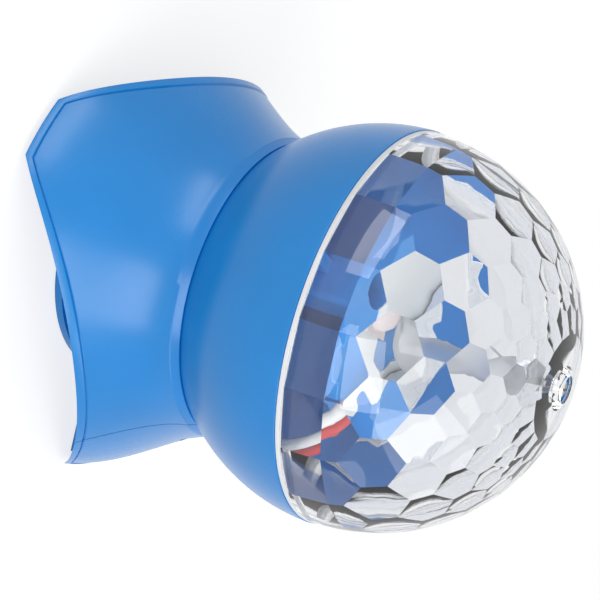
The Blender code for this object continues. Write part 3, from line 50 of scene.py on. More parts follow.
import bmesh
import bpy
from mathutils import Matrix, Vector

MM = 0.001
spin = next(joint for joint in frame["joints"] if joint["name"] == "dome_spin")
AXIS = Vector(spin["pos_m"])
BALL_Z = AXIS.z
STAND_AXIS = Vector((AXIS.x, AXIS.y, 0))
BALL_CENTRE = (0, 0, BALL_Z)
ORIGIN = (0, 0, 0)
UP = Vector((0.0, 0.0, 1.0))
WHITE = (1.0, 1.0, 1.0, 1.0)


def add_object(name, data):
    made = bpy.data.objects.new(name, data)
    bpy.context.collection.objects.link(made)
    return made


def polar(radius, degrees, z=0.0):
    angle = math.radians(degrees)
    return Vector((radius * math.cos(angle), radius * math.sin(angle), z))


def spread(start, end, count, first=0):
    """Numbers in even steps from start to end."""
    return [start + (end - start) * k / count for k in range(first, count + 1)]


def arc(radius, start, end, count, z=0.0):
    """Section points on a circle whose centre is on the axis at height z; angles in radians from level."""
    return [(radius * math.cos(angle), z + radius * math.sin(angle)) for angle in spread(start, end, count)]


def box_section(inner, outer, low, high):
    return [(inner, low), (outer, low), (outer, high), (inner, high)]


print("The dome turns about x %.2f mm, y %.2f mm; the ball's centre is %.2f mm up" % tuple(AXIS / MM))

# %% [markdown]
# ## The camera first
# In the photograph the lamp lies on its side, so the camera that sees it standing is rolled. Its place and its
# own axes were worked out from the ball's outline, the ring at the dome's seam and the feet.

# %% Photo camera
DOME_RADIUS = 50.0 * MM
CAMERA_PLACE = Vector((2.4374, -6.6323, 2.9290)) * DOME_RADIUS
CAMERA_RIGHT = Vector((-0.43274, 0.27781, 0.85765))
CAMERA_UP = Vector((-0.84548, -0.45527, -0.27913))
CAMERA_BACK = Vector((0.31291, -0.84590, 0.43189))

lens = bpy.data.cameras.new("Photo camera")
lens.sensor_width = 36.0
lens.lens = 92.88
camera = add_object("Photo camera", lens)
turned_axes = Matrix((CAMERA_RIGHT, CAMERA_UP, CAMERA_BACK)).transposed().to_4x4()
camera.matrix_world = Matrix.Translation(AXIS + CAMERA_PLACE) @ turned_axes
bpy.context.scene.camera = camera
print("Camera %.0f mm from the ball's centre" % (CAMERA_PLACE.length / MM))

# %% [markdown]
# ## One group for every moulded surface
# Moulded plastic is never mirror smooth: the mould leaves a very fine grain, and the gloss drifts a little
# over the surface. Both are one node group, placed in each plastic with its own numbers.

# %% Moulded grain group
def feed(tree, node, values):
    """Fill inputs of a node: a socket is linked, anything else is written in as it is."""
    for label, value in values.items():
        if isinstance(value, bpy.types.NodeSocket):
            tree.links.new(value, node.inputs[label])
        else:
            node.inputs[label].default_value = value


def math_node(tree, operation, first, second):
    made = tree.nodes.new("ShaderNodeMath")
    made.operation = operation
    feed(tree, made, {0: first, 1: second})
    return made.outputs["Value"]


def noise_node(tree, coordinates, scale, detail):
    made = tree.nodes.new("ShaderNodeTexNoise")
    feed(tree, made, {"Vector": coordinates, "Scale": scale, "Detail": detail})
    return made.outputs["Fac"]


def moulded_grain_group():
    group = bpy.data.node_groups.new("Moulded grain", "ShaderNodeTree")
    for label, default in (("Grain Scale", 1800.0), ("Grain Depth", 0.02), ("Roughness", 0.3),
                           ("Roughness Spread", 0.05)):
        socket = group.interface.new_socket(label, in_out="INPUT", socket_type="NodeSocketFloat")
        socket.default_value = default
    for label, kind in (("Roughness", "Float"), ("Shade", "Float"), ("Normal", "Vector")):
        group.interface.new_socket(label, in_out="OUTPUT", socket_type="NodeSocket" + kind)
    start, end = group.nodes.new("NodeGroupInput"), group.nodes.new("NodeGroupOutput")
    place = group.nodes.new("ShaderNodeTexCoord").outputs["Object"]
    grain = noise_node(group, place, start.outputs["Grain Scale"], 2.0)
    drift = noise_node(group, place, 45.0, 3.0)
    centred = math_node(group, "SUBTRACT", drift, 0.5)
    swing = math_node(group, "MULTIPLY", centred, start.outputs["Roughness Spread"])
    bump = group.nodes.new("ShaderNodeBump")
    feed(group, bump, {"Distance": 0.2 * MM, "Strength": start.outputs["Grain Depth"], "Height": grain})
    feed(group, end, {"Roughness": math_node(group, "ADD", start.outputs["Roughness"], swing), "Shade": drift,
                      "Normal": bump.outputs["Normal"]})
    return group


MOULDED_GRAIN = moulded_grain_group()
print("Group:", MOULDED_GRAIN.name, "with", len(MOULDED_GRAIN.nodes), "nodes")

# %% [markdown]
# ## Finishes
# Each finish is one material. The blue is a satin polystyrene, the dome is clear and its post hazy, the light
# board is white on a blue deck, and the small metal parts are plated. The shader's own sockets hold what is the
# same all over; only what changes over the surface comes from the group.

# %% Plastics
def base_material(name, colour, values):
    """A material whose own shader sockets hold the colour and the given values."""
    made = bpy.data.materials.new(name)
    made.use_nodes = True
    shader = made.node_tree.nodes["Principled BSDF"]
    feed(made.node_tree, shader, {"Base Color": (*colour, 1.0), **values})
    return made, made.node_tree, shader


def moulded(name, colour, roughness, spread=0.05, grain_scale=1800.0, depth=0.02, tone=0.06):
    """Opaque moulded plastic: a colour that drifts by tone, with the moulded grain over it."""
    made, tree, shader = base_material(name, colour, {})
    grain = tree.nodes.new("ShaderNodeGroup")
    grain.node_tree = MOULDED_GRAIN
    feed(tree, grain, {"Grain Scale": grain_scale, "Grain Depth": depth, "Roughness": roughness,
                       "Roughness Spread": spread})
    ramp = tree.nodes.new("ShaderNodeValToRGB")
    low, high = ramp.color_ramp.elements
    low.position, high.position = 0.3, 0.7
    low.color = (*[channel * (1 - tone) for channel in colour], 1.0)
    high.color = (*[min(1.0, channel * (1 + tone)) for channel in colour], 1.0)
    feed(tree, ramp, {"Fac": grain.outputs["Shade"]})
    feed(tree, shader, {"Base Color": ramp.outputs["Color"], "Roughness": grain.outputs["Roughness"],
                        "Normal": grain.outputs["Normal"]})
    return made


BLUE_PLASTIC = moulded("Blue plastic", (0.008, 0.250, 0.690), 0.26, spread=0.08, depth=0.03, tone=0.04)
WHITE_PLASTIC = moulded("White plastic", (0.80, 0.82, 0.84), 0.42)
GREY_PLASTIC = moulded("Grey plastic", (0.30, 0.31, 0.33), 0.5)
RUBBER = moulded("Dark rubber", (0.025, 0.025, 0.028), 0.8, grain_scale=900.0, depth=0.15)
WHITE_BOARD = moulded("White board", (0.74, 0.77, 0.78), 0.3, grain_scale=2500.0, depth=0.05)
GREEN_BOARD = moulded("Green board", (0.015, 0.16, 0.05), 0.35, grain_scale=2500.0, depth=0.05)
RED_WIRE = moulded("Red wire", (0.50, 0.02, 0.025), 0.35)
BLACK_WIRE = moulded("Black wire", (0.015, 0.015, 0.018), 0.35)
WHITE_WIRE = moulded("White wire", (0.72, 0.72, 0.70), 0.35)
CELL_WRAP = moulded("Cell wrap", (0.05, 0.055, 0.06), 0.3)
print("Plastics ready")

# %% Clear plastic and emitters
def clear(name, colour, roughness, ior):
    return base_material(name, colour, {"Roughness": roughness, "Transmission Weight": 1.0, "IOR": ior})[0]


CLEAR_PLASTIC = clear("Clear plastic", (0.885, 0.895, 0.91), 0.0, 1.53)
CLEAR_POST = clear("Hazy post plastic", (0.80, 0.82, 0.85), 0.32, 1.50)
# The rim's pale colour is a painted highlight: it stands in for the dome's clear lowest edge catching the light.
PAINTED_BRIGHT_RIM = moulded("Painted bright rim", (0.86, 0.88, 0.90), 0.45)
LENS_TINTS = {"red": (0.62, 0.55, 0.55), "green": (0.52, 0.60, 0.55), "blue": (0.45, 0.50, 0.62)}
EMITTER_LENSES = {name: moulded(name.title() + " emitter lens", tint, 0.12, depth=0.0)
                  for name, tint in LENS_TINTS.items()}
print("Clear finishes ready")

# %% Metals
def metal(name, colour, roughness, streak):
    """Plated or drawn metal: fine streaks along Z change its gloss."""
    made, tree, shader = base_material(name, colour, {"Metallic": 1.0})
    stretch = tree.nodes.new("ShaderNodeMapping")
    feed(tree, stretch, {"Scale": (1.0, 1.0, 0.08),
                         "Vector": tree.nodes.new("ShaderNodeTexCoord").outputs["Object"]})
    streaks = noise_node(tree, stretch.outputs["Vector"], 3000.0, 3.0)
    swing = math_node(tree, "MULTIPLY", streaks, streak)
    feed(tree, shader, {"Roughness": math_node(tree, "ADD", swing, roughness)})
    return made


PLATED_STEEL = metal("Plated steel", (0.63, 0.61, 0.57), 0.22, 0.14)
BRIGHT_STEEL = metal("Bright steel", (0.72, 0.72, 0.72), 0.16, 0.12)
print("Metals ready")

# %% [markdown]
# ## Mesh helpers
# Nearly every piece is a section, a list of (radius, height) points, turned about an axis or swept round part
# of it. Rounded corners in the section catch the light as moulded edges do.

# %% Sections and turned pieces
def rounded(section, radius, parts=3, skip=(), closed=False):
    """Replace each corner of a section by a small arc; skip holds the indexes that stay sharp."""
    points = [Vector(point) for point in section]
    out = []
    for index, corner in enumerate(points):
        at_end = index in (0, len(points) - 1) and not closed
        before = points[index - 1]
        after = points[(index + 1) % len(points)]
        reach = min(radius, (before - corner).length * 0.45, (after - corner).length * 0.45)
        if at_end or index in skip or reach <= 0:
            out.append(tuple(corner))
            continue
        start = corner + (before - corner).normalized() * reach
        end = corner + (after - corner).normalized() * reach
        for part in range(parts + 1):
            t = part / parts
            point = start * (1 - t) ** 2 + corner * 2 * t * (1 - t) + end * t ** 2
            out.append(tuple(point))
    return out


def join_loops(bm, first, second):
    """Faces between two rings; a ring of one vertex is a tip, and one may have a multiple of the other's."""
    smaller, larger = sorted((len(first), len(second)))
    count = larger if smaller == 1 else smaller
    for index in range(count):
        corners = []
        for ring, order in ((first, 1), (second, -1)):
            start = index * len(ring) // count
            end = (index + 1) * len(ring) // count
            corners += [ring[k % len(ring)] for k in range(start, end + 1)][::order]
        bm.faces.new(list(dict.fromkeys(corners)))


def smooth(mesh, degrees=32.0):
    mesh.shade_smooth()
    mesh.set_sharp_from_angle(angle=math.radians(degrees))


def place(name, bm, finish, centre=ORIGIN, turn=ORIGIN, smooth_angle=32.0):
    """Make an object from a bmesh, its centre given from the foot of the stand's axis."""
    bmesh.ops.remove_doubles(bm, verts=bm.verts, dist=0.001 * MM)
    bmesh.ops.recalc_face_normals(bm, faces=bm.faces)
    mesh = bpy.data.meshes.new(name)
    bm.to_mesh(mesh)
    bm.free()
    if smooth_angle is not None:
        smooth(mesh, smooth_angle)
    mesh.materials.append(finish)
    piece = add_object(name, mesh)
    piece.location = STAND_AXIS + Vector(centre)
    piece.rotation_euler = turn
    return piece


def turned(name, section, finish=BLUE_PLASTIC, steps=128, centre=ORIGIN, turn=ORIGIN, phase=0.0):
    """Turn a section about Z. It closes on the axis where it starts and ends there, and is a ring otherwise."""
    bm = bmesh.new()
    loops = []
    for radius, height in section:
        places = [polar(radius, 360.0 * (k + phase) / steps, height) for k in range(steps if radius else 1)]
        loops.append([bm.verts.new(place_at) for place_at in places])
    pairs = list(zip(loops, loops[1:]))
    if section[0][0] != 0:
        pairs.append((loops[-1], loops[0]))
    for first, second in pairs:
        join_loops(bm, first, second)
    return place(name, bm, finish, centre, turn)


def prism(name, outline, bottom, top, centre=ORIGIN, turn=ORIGIN, finish=BLUE_PLASTIC):
    bm = bmesh.new()
    low, high = ([bm.verts.new((x, y, z)) for x, y in outline] for z in (bottom, top))
    join_loops(bm, low, high)
    bm.faces.new(low)
    bm.faces.new(high)
    return place(name, bm, finish, centre, turn)


def block(size, centre, turn=ORIGIN, finish=BLUE_PLASTIC):
    half_x, half_y, half_z = (side / 2 for side in size)
    outline = box_section(-half_x, half_x, -half_y, half_y)
    return prism("Tool", outline, -half_z, half_z, centre, turn, finish)


def rod(radius, bottom, top, centre=ORIGIN, turn=ORIGIN, steps=48, finish=BLUE_PLASTIC, name="Tool"):
    return turned(name, box_section(0, radius, bottom, top), finish, steps, centre, turn, 0.5)


def combine(piece, tools, operation):
    """Join or cut piece with each tool in turn and keep the result as its mesh."""
    for tool in tools:
        step = piece.modifiers.new(operation.title(), "BOOLEAN")
        step.operation = operation
        step.object = tool
    bpy.context.view_layer.update()
    evaluated = piece.evaluated_get(bpy.context.evaluated_depsgraph_get())
    mesh = bpy.data.meshes.new_from_object(evaluated)
    piece.modifiers.clear()
    piece.data = mesh
    smooth(mesh)
    for tool in tools:
        bpy.data.objects.remove(tool)
    return piece


def soften(piece):
    edges = piece.modifiers.new("Moulded edges", "BEVEL")
    edges.width = 0.25 * MM
    edges.segments = 2
    edges.limit_method = "ANGLE"
    edges.angle_limit = math.radians(40.0)
    return piece


def stand_for(piece, slot, *nodes, body="stand"):
    """The piece rides on a body and is shown instead of CAD nodes; slot is not used."""
    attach(piece, body)
    if nodes:
        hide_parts(*nodes)
    return piece


def points_of(piece):
    return len(piece.data.vertices)


# %% [markdown]
# ## The bell stand
# Two half shells meet behind and in front of the parting plane. The bell is narrow at the collar and flares
# to three feet, with an arch cut between each pair. The wall is swept column by column: each column is the
# section of the wall at one azimuth, and it starts at the arch's edge, so the raised lip follows the arches.

# %% Bell form
GAP = 0.30 * MM
RIM_Z = 1.6 * MM
BELL_HEIGHT = 39.0 * MM
BELL_TOP_Z = RIM_Z + BELL_HEIGHT
BELL_RIM_RADIUS = 59.9 * MM
BOWL_RADIUS = 50.4 * MM
BELL_TOP_RADIUS = BOWL_RADIUS * 0.7907
BELL_WALL = 2.2 * MM
BELL_STATION_SHARES = ((0.0, 1.0), (0.35, 0.68), (0.70, 0.245), (1.0, 0.0))
ARCH_RISE = 18.6 * MM
FEET = ((30.0, 10.5), (150.0, 10.5), (270.0, 7.6))


def bell_radius(z):
    share = (z - RIM_Z) / BELL_HEIGHT
    total = 0.0
    for height_share, radius_share in BELL_STATION_SHARES:
        weight = radius_share
        for other, _ in BELL_STATION_SHARES:
            if other != height_share:
                weight *= (share - other) / (height_share - other)
        total += weight
    return BELL_TOP_RADIUS + (BELL_RIM_RADIUS - BELL_TOP_RADIUS) * total


def bell_side(start, end, rows, inset, first=0):
    """Section points up the bell's form, on a surface inset from the outer one."""
    return [(bell_radius(z) - inset, z) for z in spread(start, end, rows, first)]


def arches():
    """Middle azimuth, half span and cutting radius of each arch."""
    found = []
    for (azimuth, half), (next_azimuth, next_half) in zip(FEET, FEET[1:] + FEET[:1]):
        start, end = azimuth + half, next_azimuth - next_half
        if end < start:
            end += 360.0
        half_span = (end - start) / 2
        half_chord = BELL_RIM_RADIUS * math.sin(math.radians(half_span))
        found.append(((start + half_span) % 360.0, half_span, (half_chord ** 2 + ARCH_RISE ** 2) / (2 * ARCH_RISE)))
    return found


def rim_height(azimuth, inset):
    """Height of the bell's lower edge at an azimuth, on a surface inset from the outer one."""
    z = RIM_Z
    for middle, _, cut_radius in arches():
        away = (azimuth - middle + 180.0) % 360.0 - 180.0
        if abs(away) > 90.0:
            continue
        height = RIM_Z
        for _ in range(12):
            offset = (bell_radius(height) - inset) * math.sin(math.radians(away))
            if abs(offset) >= cut_radius:
                height = RIM_Z
                break
            height = max(RIM_Z, RIM_Z + ARCH_RISE - cut_radius + math.sqrt(cut_radius ** 2 - offset ** 2))
        z = max(z, height)
    return z


def ball_level(radius, z):
    """Radius of the level circle that a ball of this radius has at a height."""
    return math.sqrt(radius ** 2 - (z - BALL_Z) ** 2)


print("Arches (middle, half span, radius):", [tuple(round(v, 4) for v in arch) for arch in arches()])

# %% Wall section
RIM_LIP_WIDTH = 1.75 * MM
RIM_LIP_PROUD = 0.30 * MM
RIM_GROOVE_WIDTH = 0.45 * MM
RIM_GROOVE_DEPTH = 0.35 * MM
COLLAR_BAND_HEIGHT = 2.2 * MM
COLLAR_EDGE_WIDTH = 0.5 * MM
COLLAR_STEP = 0.25 * MM
COLLAR_SEAT_HEIGHT = 4.4 * MM
COLLAR_SEAT_GAP = 0.04 * MM
RIM_LIP_EDGE = 0.18 * MM
COLLAR_EDGE = 0.12 * MM
WALL_ROWS = 22


def wall_section(azimuth):
    """Radius and height of each point round the wall at an azimuth, from the lip's outer edge."""
    rim = rim_height(azimuth, 0.0)
    lip_top = rim + RIM_LIP_WIDTH
    groove_top = lip_top + RIM_GROOVE_WIDTH
    lip = (bell_side(rim, lip_top, 1, -RIM_LIP_PROUD) + bell_side(lip_top, groove_top, 1, RIM_GROOVE_DEPTH)
           + [(bell_radius(groove_top), groove_top)])
    wall = bell_side(groove_top, BELL_TOP_Z, WALL_ROWS, 0, 1)
    band_top = BELL_TOP_Z + COLLAR_BAND_HEIGHT
    seat_end = band_top - COLLAR_SEAT_HEIGHT
    seat_radius = BOWL_RADIUS + COLLAR_SEAT_GAP
    collar = [
        (BELL_TOP_RADIUS - COLLAR_STEP, BELL_TOP_Z + COLLAR_STEP),
        (ball_level(seat_radius, band_top) + COLLAR_EDGE_WIDTH, band_top),
        (ball_level(seat_radius, band_top), band_top),
        (ball_level(seat_radius, seat_end), seat_end),
    ]
    inside = bell_side(seat_end - COLLAR_STEP, rim_height(azimuth, BELL_WALL), WALL_ROWS, BELL_WALL)
    return rounded(lip, RIM_LIP_EDGE, 2) + wall + rounded(collar, COLLAR_EDGE, 2) + inside


def wall_azimuths(start, end, step=1.25):
    """Even steps between the feet's corners, their middles and the arches' tops."""
    marks = {start, end}
    for azimuth, half in FEET:
        marks.update({azimuth - half, azimuth, azimuth + half})
    marks.update(middle for middle, _, _ in arches())
    marks = sorted(mark for mark in marks if start <= mark <= end)
    azimuths = [marks[0]]
    for low, high in zip(marks, marks[1:]):
        azimuths += spread(low, high, math.ceil((high - low) / step), 1)
    return azimuths


def half_ring(name, azimuths, section_at, parting_y):
    """Sweep a section round half the bell; both end columns lie on the parting plane."""
    columns = [[polar(radius, azimuth, z) for radius, z in section_at(azimuth)] for azimuth in azimuths]
    for point in columns[0] + columns[-1]:
        point.y = parting_y
    bm = bmesh.new()
    rows = [[bm.verts.new(point) for point in column] for column in columns]
    for first, second in zip(rows, rows[1:]):
        join_loops(bm, first, second)
    bm.faces.new(rows[0])
    bm.faces.new(rows[-1])
    return place(name, bm, BLUE_PLASTIC)


def half_shell(name, start, side):
    return half_ring(name, wall_azimuths(start, start + 180.0), wall_section, side * GAP / 2)


# %% [markdown]
# Inside the bell a web traps the bowl's neck, a post in each foot takes the floor plate's screw, and two
# bosses meet across the parting plane for the side screws. Each is a closed body let into the wall.

# %% Inner mouldings of the bell
WEB_TOP_Z = BALL_Z - BOWL_RADIUS - 0.5 * MM
WEB_BOTTOM_Z = WEB_TOP_Z - 2.0 * MM
NECK_RADIUS = 15.0 * MM
PLATE_LOW_Z = 0.8 * MM
PLATE_TOP_Z = 3.0 * MM
PLATE_BOSS_TOP = PLATE_TOP_Z + 1.6 * MM
PLATE_SCREW_AT = 49.5 * MM
FOOT_POST_LOW_Z = PLATE_BOSS_TOP + GAP
FOOT_POST_TOP_Z = FOOT_POST_LOW_Z + 14.0 * MM
SIDE_BOSS_Z = RIM_Z + 29.0 * MM
SIDE_BOSS_AT = bell_radius(SIDE_BOSS_Z) - BELL_WALL - 4.8 * MM
SIDE_SCREW_SEAT = 8.0 * MM
SIDE_SCREW_LENGTH = 15.0 * MM
SIDE_PILOT_END = -9.0 * MM
SHANK_LENGTH = 9.0 * MM
SHANK_RADIUS = 1.2 * MM
HEAD_RADIUS = 2.7 * MM
ALONG_PLUS_Y = (-math.pi / 2, 0, 0)
INTO_WALL = 0.6 * MM
CUT_PAST = 5.0 * MM
PARTING_SETBACK = GAP / 2 + 0.12 * MM
WEB_STEPS = 61
CORE_ROWS = 20


def bell_core():
    """The space inside the bell up to just within its wall; inner mouldings are kept inside it."""
    section = [(0, PLATE_LOW_Z), (bell_radius(RIM_Z) - 2 * INTO_WALL, PLATE_LOW_Z)]
    section += bell_side(PLATE_TOP_Z, BELL_TOP_Z, CORE_ROWS, BELL_WALL - INTO_WALL) + [(0, BELL_TOP_Z)]
    return turned("Bell core", section, steps=144)


def half_web(start, side):
    """Half of the web that traps the bowl's neck, on the same side of the parting plane as its shell."""
    bore = NECK_RADIUS + GAP
    section = bell_side(WEB_BOTTOM_Z, WEB_TOP_Z, 1, BELL_WALL - INTO_WALL)
    section = [(bore, WEB_BOTTOM_Z)] + section + [(bore, WEB_TOP_Z)]
    azimuths = spread(start, start + 180.0, WEB_STEPS)
    return half_ring("web_%d" % round(start), azimuths, lambda azimuth: section, side * PARTING_SETBACK)


def about_z(degrees):
    return (0, 0, math.radians(degrees))


def shank_bore(low, high, centre):
    return rod(SHANK_RADIUS + GAP, low, high, centre, steps=24)


def fitted(body, ribs, core, bores):
    """Join ribs to a body, keep what lies in the core, then bore it."""
    if ribs:
        combine(body, ribs, "UNION")
    combine(body, [core], "INTERSECT")
    return combine(body, bores, "DIFFERENCE")


def foot_post(azimuth):
    at = polar(PLATE_SCREW_AT, azimuth)
    post = rod(3.6 * MM, FOOT_POST_LOW_Z, FOOT_POST_TOP_Z, at, name="foot_post_%d" % round(azimuth))
    reach = BELL_RIM_RADIUS - PLATE_SCREW_AT
    middle = polar(PLATE_SCREW_AT + reach / 2, azimuth, (FOOT_POST_LOW_Z + FOOT_POST_TOP_Z) / 2)
    rib = block((reach, 1.6 * MM, FOOT_POST_TOP_Z - FOOT_POST_LOW_Z), middle, about_z(azimuth))
    return fitted(post, [rib], bell_core(), [shank_bore(PLATE_TOP_Z, PLATE_TOP_Z + 9.6 * MM, at)])


def side_bar(x, radius, start, end, steps=40, name="Tool"):
    return rod(radius, start, end, (x, 0, SIDE_BOSS_Z), ALONG_PLUS_Y, steps, name=name)


def side_boss(name, x, start, end, bores):
    return fitted(side_bar(x, 4.4 * MM, start, end, name=name), [], bell_core(), bores)


# %% Power button's place in the wall
BUTTON_Z = RIM_Z + 28.0 * MM
BUTTON_RADIUS = 4.0 * MM
BUTTON_PROUD = 1.6 * MM
BUTTON_LENGTH = 7.0 * MM
BUTTON_TUBE_LENGTH = BUTTON_LENGTH - BUTTON_PROUD + 1.0 * MM
SWITCH_WIDTH = 10.0 * MM
SWITCH_DEPTH = 6.0 * MM
button_slope = (bell_radius(BUTTON_Z + MM) - bell_radius(BUTTON_Z - MM)) / (2 * MM)
BUTTON_LEAN = math.atan(-button_slope)
BUTTON_PLACE = Vector((0, bell_radius(BUTTON_Z), BUTTON_Z))
BUTTON_OUTWARD = Vector((0, math.cos(BUTTON_LEAN), math.sin(BUTTON_LEAN)))
BUTTON_TURN = (-math.pi / 2 + BUTTON_LEAN, 0, 0)
print("The button leans back %.1f degrees with the wall" % math.degrees(BUTTON_LEAN))


def rear_web():
    """Half web, notched where the switch reaches down through it."""
    centre = BUTTON_PLACE - BUTTON_OUTWARD * (BUTTON_TUBE_LENGTH + GAP + SWITCH_DEPTH / 2)
    room = SWITCH_WIDTH + 1.6 * MM
    start = centre.y - room / 2
    end = bell_radius(WEB_BOTTOM_Z) + CUT_PAST
    notch = block((room, end - start, 7.0 * MM), (0, (start + end) / 2, (WEB_TOP_Z + WEB_BOTTOM_Z) / 2))
    return combine(half_web(0.0, 1), [notch], "DIFFERENCE")


def button_hole():
    return rod(BUTTON_RADIUS + GAP, -BUTTON_TUBE_LENGTH - CUT_PAST, CUT_PAST, BUTTON_PLACE, BUTTON_TURN, 64)


def button_tube():
    tube = rod(BUTTON_RADIUS + GAP + 1.6 * MM, -BUTTON_TUBE_LENGTH, -INTO_WALL, BUTTON_PLACE, BUTTON_TURN, 64,
               name="button_tube")
    return combine(tube, [button_hole()], "DIFFERENCE")


# %% Front half shell
SIDES = (("left", -SIDE_BOSS_AT), ("right", SIDE_BOSS_AT))


def ride_stand(pieces):
    """Blue mouldings that belong to a shell or the bowl in the CAD model, so they replace no node."""
    for piece in pieces:
        stand_for(piece, "blue_plastic")


front_skin = stand_for(half_shell("stand_front_skin", 180.0, -1), "blue_plastic", "stand_front_shell")
front_inside = [half_web(180.0, -1), foot_post(270.0)]
for side, x in SIDES:
    bore = side_bar(x, SHANK_RADIUS + GAP, SIDE_PILOT_END, CUT_PAST, 24)
    front_inside.append(side_boss("boss_front_" + side, x, -BELL_TOP_RADIUS, -PARTING_SETBACK, [bore]))
ride_stand(front_inside)
print("Front half shell:", points_of(front_skin), "points and", len(front_inside), "inner mouldings")

# %% Rear half shell
def head_bore(x):
    return side_bar(x, HEAD_RADIUS + GAP, SIDE_SCREW_SEAT, BELL_RIM_RADIUS)


rear_skin = half_shell("stand_rear_skin", 0.0, 1)
combine(rear_skin, [head_bore(-SIDE_BOSS_AT), head_bore(SIDE_BOSS_AT), button_hole()], "DIFFERENCE")
stand_for(rear_skin, "blue_plastic", "stand_rear_shell")
rear_inside = [rear_web(), foot_post(30.0), foot_post(150.0), button_tube()]
for side, x in SIDES:
    bores = [side_bar(x, SHANK_RADIUS + GAP, -CUT_PAST, SIDE_SCREW_SEAT + CUT_PAST, 24), head_bore(x)]
    rear_inside.append(side_boss("boss_rear_" + side, x, PARTING_SETBACK, BELL_TOP_RADIUS, bores))
ride_stand(rear_inside)
print("Rear half shell:", points_of(rear_skin), "points and", len(rear_inside), "inner mouldings")

# %% [markdown]
# ## The bowl
# The rear half of the ball is a smooth bowl with a neck that the web traps. Inside it stand three towers on
# ribs for the light deck, and two posts for the driver board. They show through the dome, so they are
# modelled, each as its own body let into the bowl's wall.

# %% Bowl
BOWL_WALL = 2.0 * MM
BOWL_LIP = 1.0 * MM
FLANGE_HEIGHT = 1.8 * MM
FLANGE_WIDTH = 3.5 * MM
NECK_END_Z = WEB_BOTTOM_Z - GAP - FLANGE_HEIGHT
DECK_RADIUS = 26.8 * MM
DECK_TOP_Z = BALL_Z + 3.8 * MM
DECK_CUP_Z = DECK_TOP_Z - 5.4 * MM
CUP_SEAT_Z = DECK_CUP_Z + 1.2 * MM
DECK_POST_AT = 21.8 * MM
DECK_POST_AZIMUTHS = (270.0, 30.0, 150.0)
DRIVER_Z = NECK_END_Z + 13.0 * MM + GAP
DRIVER_POST_AT = 13.0 * MM
BOARD_THICKNESS = 1.6 * MM
BALL_CORE_ROWS = 30
BOWL_ROWS = 40


def ball_core():
    radius = BOWL_RADIUS - BOWL_WALL + INTO_WALL
    side = arc(radius, 0, -math.pi / 2, BALL_CORE_ROWS, BALL_Z)[:-1]
    section = [(0, BALL_Z - radius)] + side[::-1] + [(0, BALL_Z)]
    return turned("Ball core", section, steps=120, phase=0.5)


def bowl():
    inner_radius = BOWL_RADIUS - BOWL_WALL
    neck_bore, flange_end = NECK_RADIUS - FLANGE_WIDTH, NECK_RADIUS + FLANGE_WIDTH
    lip_z = BALL_Z + BOWL_LIP
    outer = arc(BOWL_RADIUS, 0, -math.acos(NECK_RADIUS / BOWL_RADIUS), BOWL_ROWS, BALL_Z)
    inner = arc(inner_radius, 0, -math.acos(neck_bore / inner_radius), BOWL_ROWS, BALL_Z)[::-1]
    flange = [(NECK_RADIUS, NECK_END_Z + FLANGE_HEIGHT), (flange_end, NECK_END_Z + FLANGE_HEIGHT),
              (flange_end, NECK_END_Z), (neck_bore, NECK_END_Z)]
    lip = rounded([inner[-1], (inner_radius, lip_z), (BOWL_RADIUS, lip_z), outer[0]], 0.25 * MM)
    return turned("bowl_shell", lip[1:-1] + outer + flange + inner, steps=180)


def rounded_outline(width, depth, radius, steps=6):
    """Corner points of a rectangle with rounded corners, width along X."""
    points = []
    for quarter, (x, y) in enumerate(((1, 1), (-1, 1), (-1, -1), (1, -1))):
        centre = Vector((x * (width / 2 - radius), y * (depth / 2 - radius), 0))
        for k in range(steps + 1):
            points.append((centre + polar(radius, 90.0 * (quarter + k / steps))).xy)
    return points


def deck_tower(azimuth):
    """A tower with rounded corners and a rib behind it, up to the deck's screw cup."""
    top, low = DECK_CUP_Z - GAP, BALL_Z - BOWL_RADIUS
    turn, at = about_z(azimuth), polar(DECK_POST_AT, azimuth)
    outline = rounded_outline(6.8 * MM, 11.0 * MM, 1.2 * MM)
    tower = prism("deck_tower_%d" % round(azimuth), outline, low, top, at, turn)
    rib_top = top - 6.0 * MM
    size = (BOWL_RADIUS - DECK_POST_AT, 2.4 * MM, rib_top - low)
    rib = block(size, polar(DECK_POST_AT + size[0] / 2, azimuth, rib_top - size[2] / 2), turn)
    return fitted(tower, [rib], ball_core(), [shank_bore(top - SHANK_LENGTH, top + CUT_PAST, at)])


def driver_post(end, y):
    post = rod(2.8 * MM, BALL_Z - BOWL_RADIUS, DRIVER_Z - GAP, (0, y, 0), name="driver_post_" + end)
    return fitted(post, [], ball_core(), [shank_bore(DRIVER_Z - 4.4 * MM, DRIVER_Z + CUT_PAST, (0, y, 0))])


bowl_shell = stand_for(bowl(), "blue_plastic", "bowl")
bowl_inside = [deck_tower(azimuth) for azimuth in DECK_POST_AZIMUTHS]
bowl_inside += [driver_post("front", -DRIVER_POST_AT), driver_post("rear", DRIVER_POST_AT)]
ride_stand(bowl_inside)
print("Bowl:", points_of(bowl_shell), "points and", len(bowl_inside), "towers and posts")

# %% [markdown]
# ## The dome
# The dome is a smooth half ball outside, with facets inside, each of which throws its own star. Every facet
# starts as a plane at one distance from the ball's centre. Where three neighbouring planes meet is a corner,
# so the corners are solved and not guessed. The CAD facets stay flat; here most swell inwards by 0.2 mm.

# %% Facet planes and corners
DOME_FACET_RADIUS = 47.6 * MM
DOME_BAND_RADIUS = 46.3 * MM
DOME_POLE_FLAT = 46.1 * MM
FACETS_AROUND = 19
FACET_ROWS = 7
FACET_ROW_SHARE = 0.756
FACET_TURN = 0.4
DOME_SEAM = BOWL_LIP + 0.4 * MM


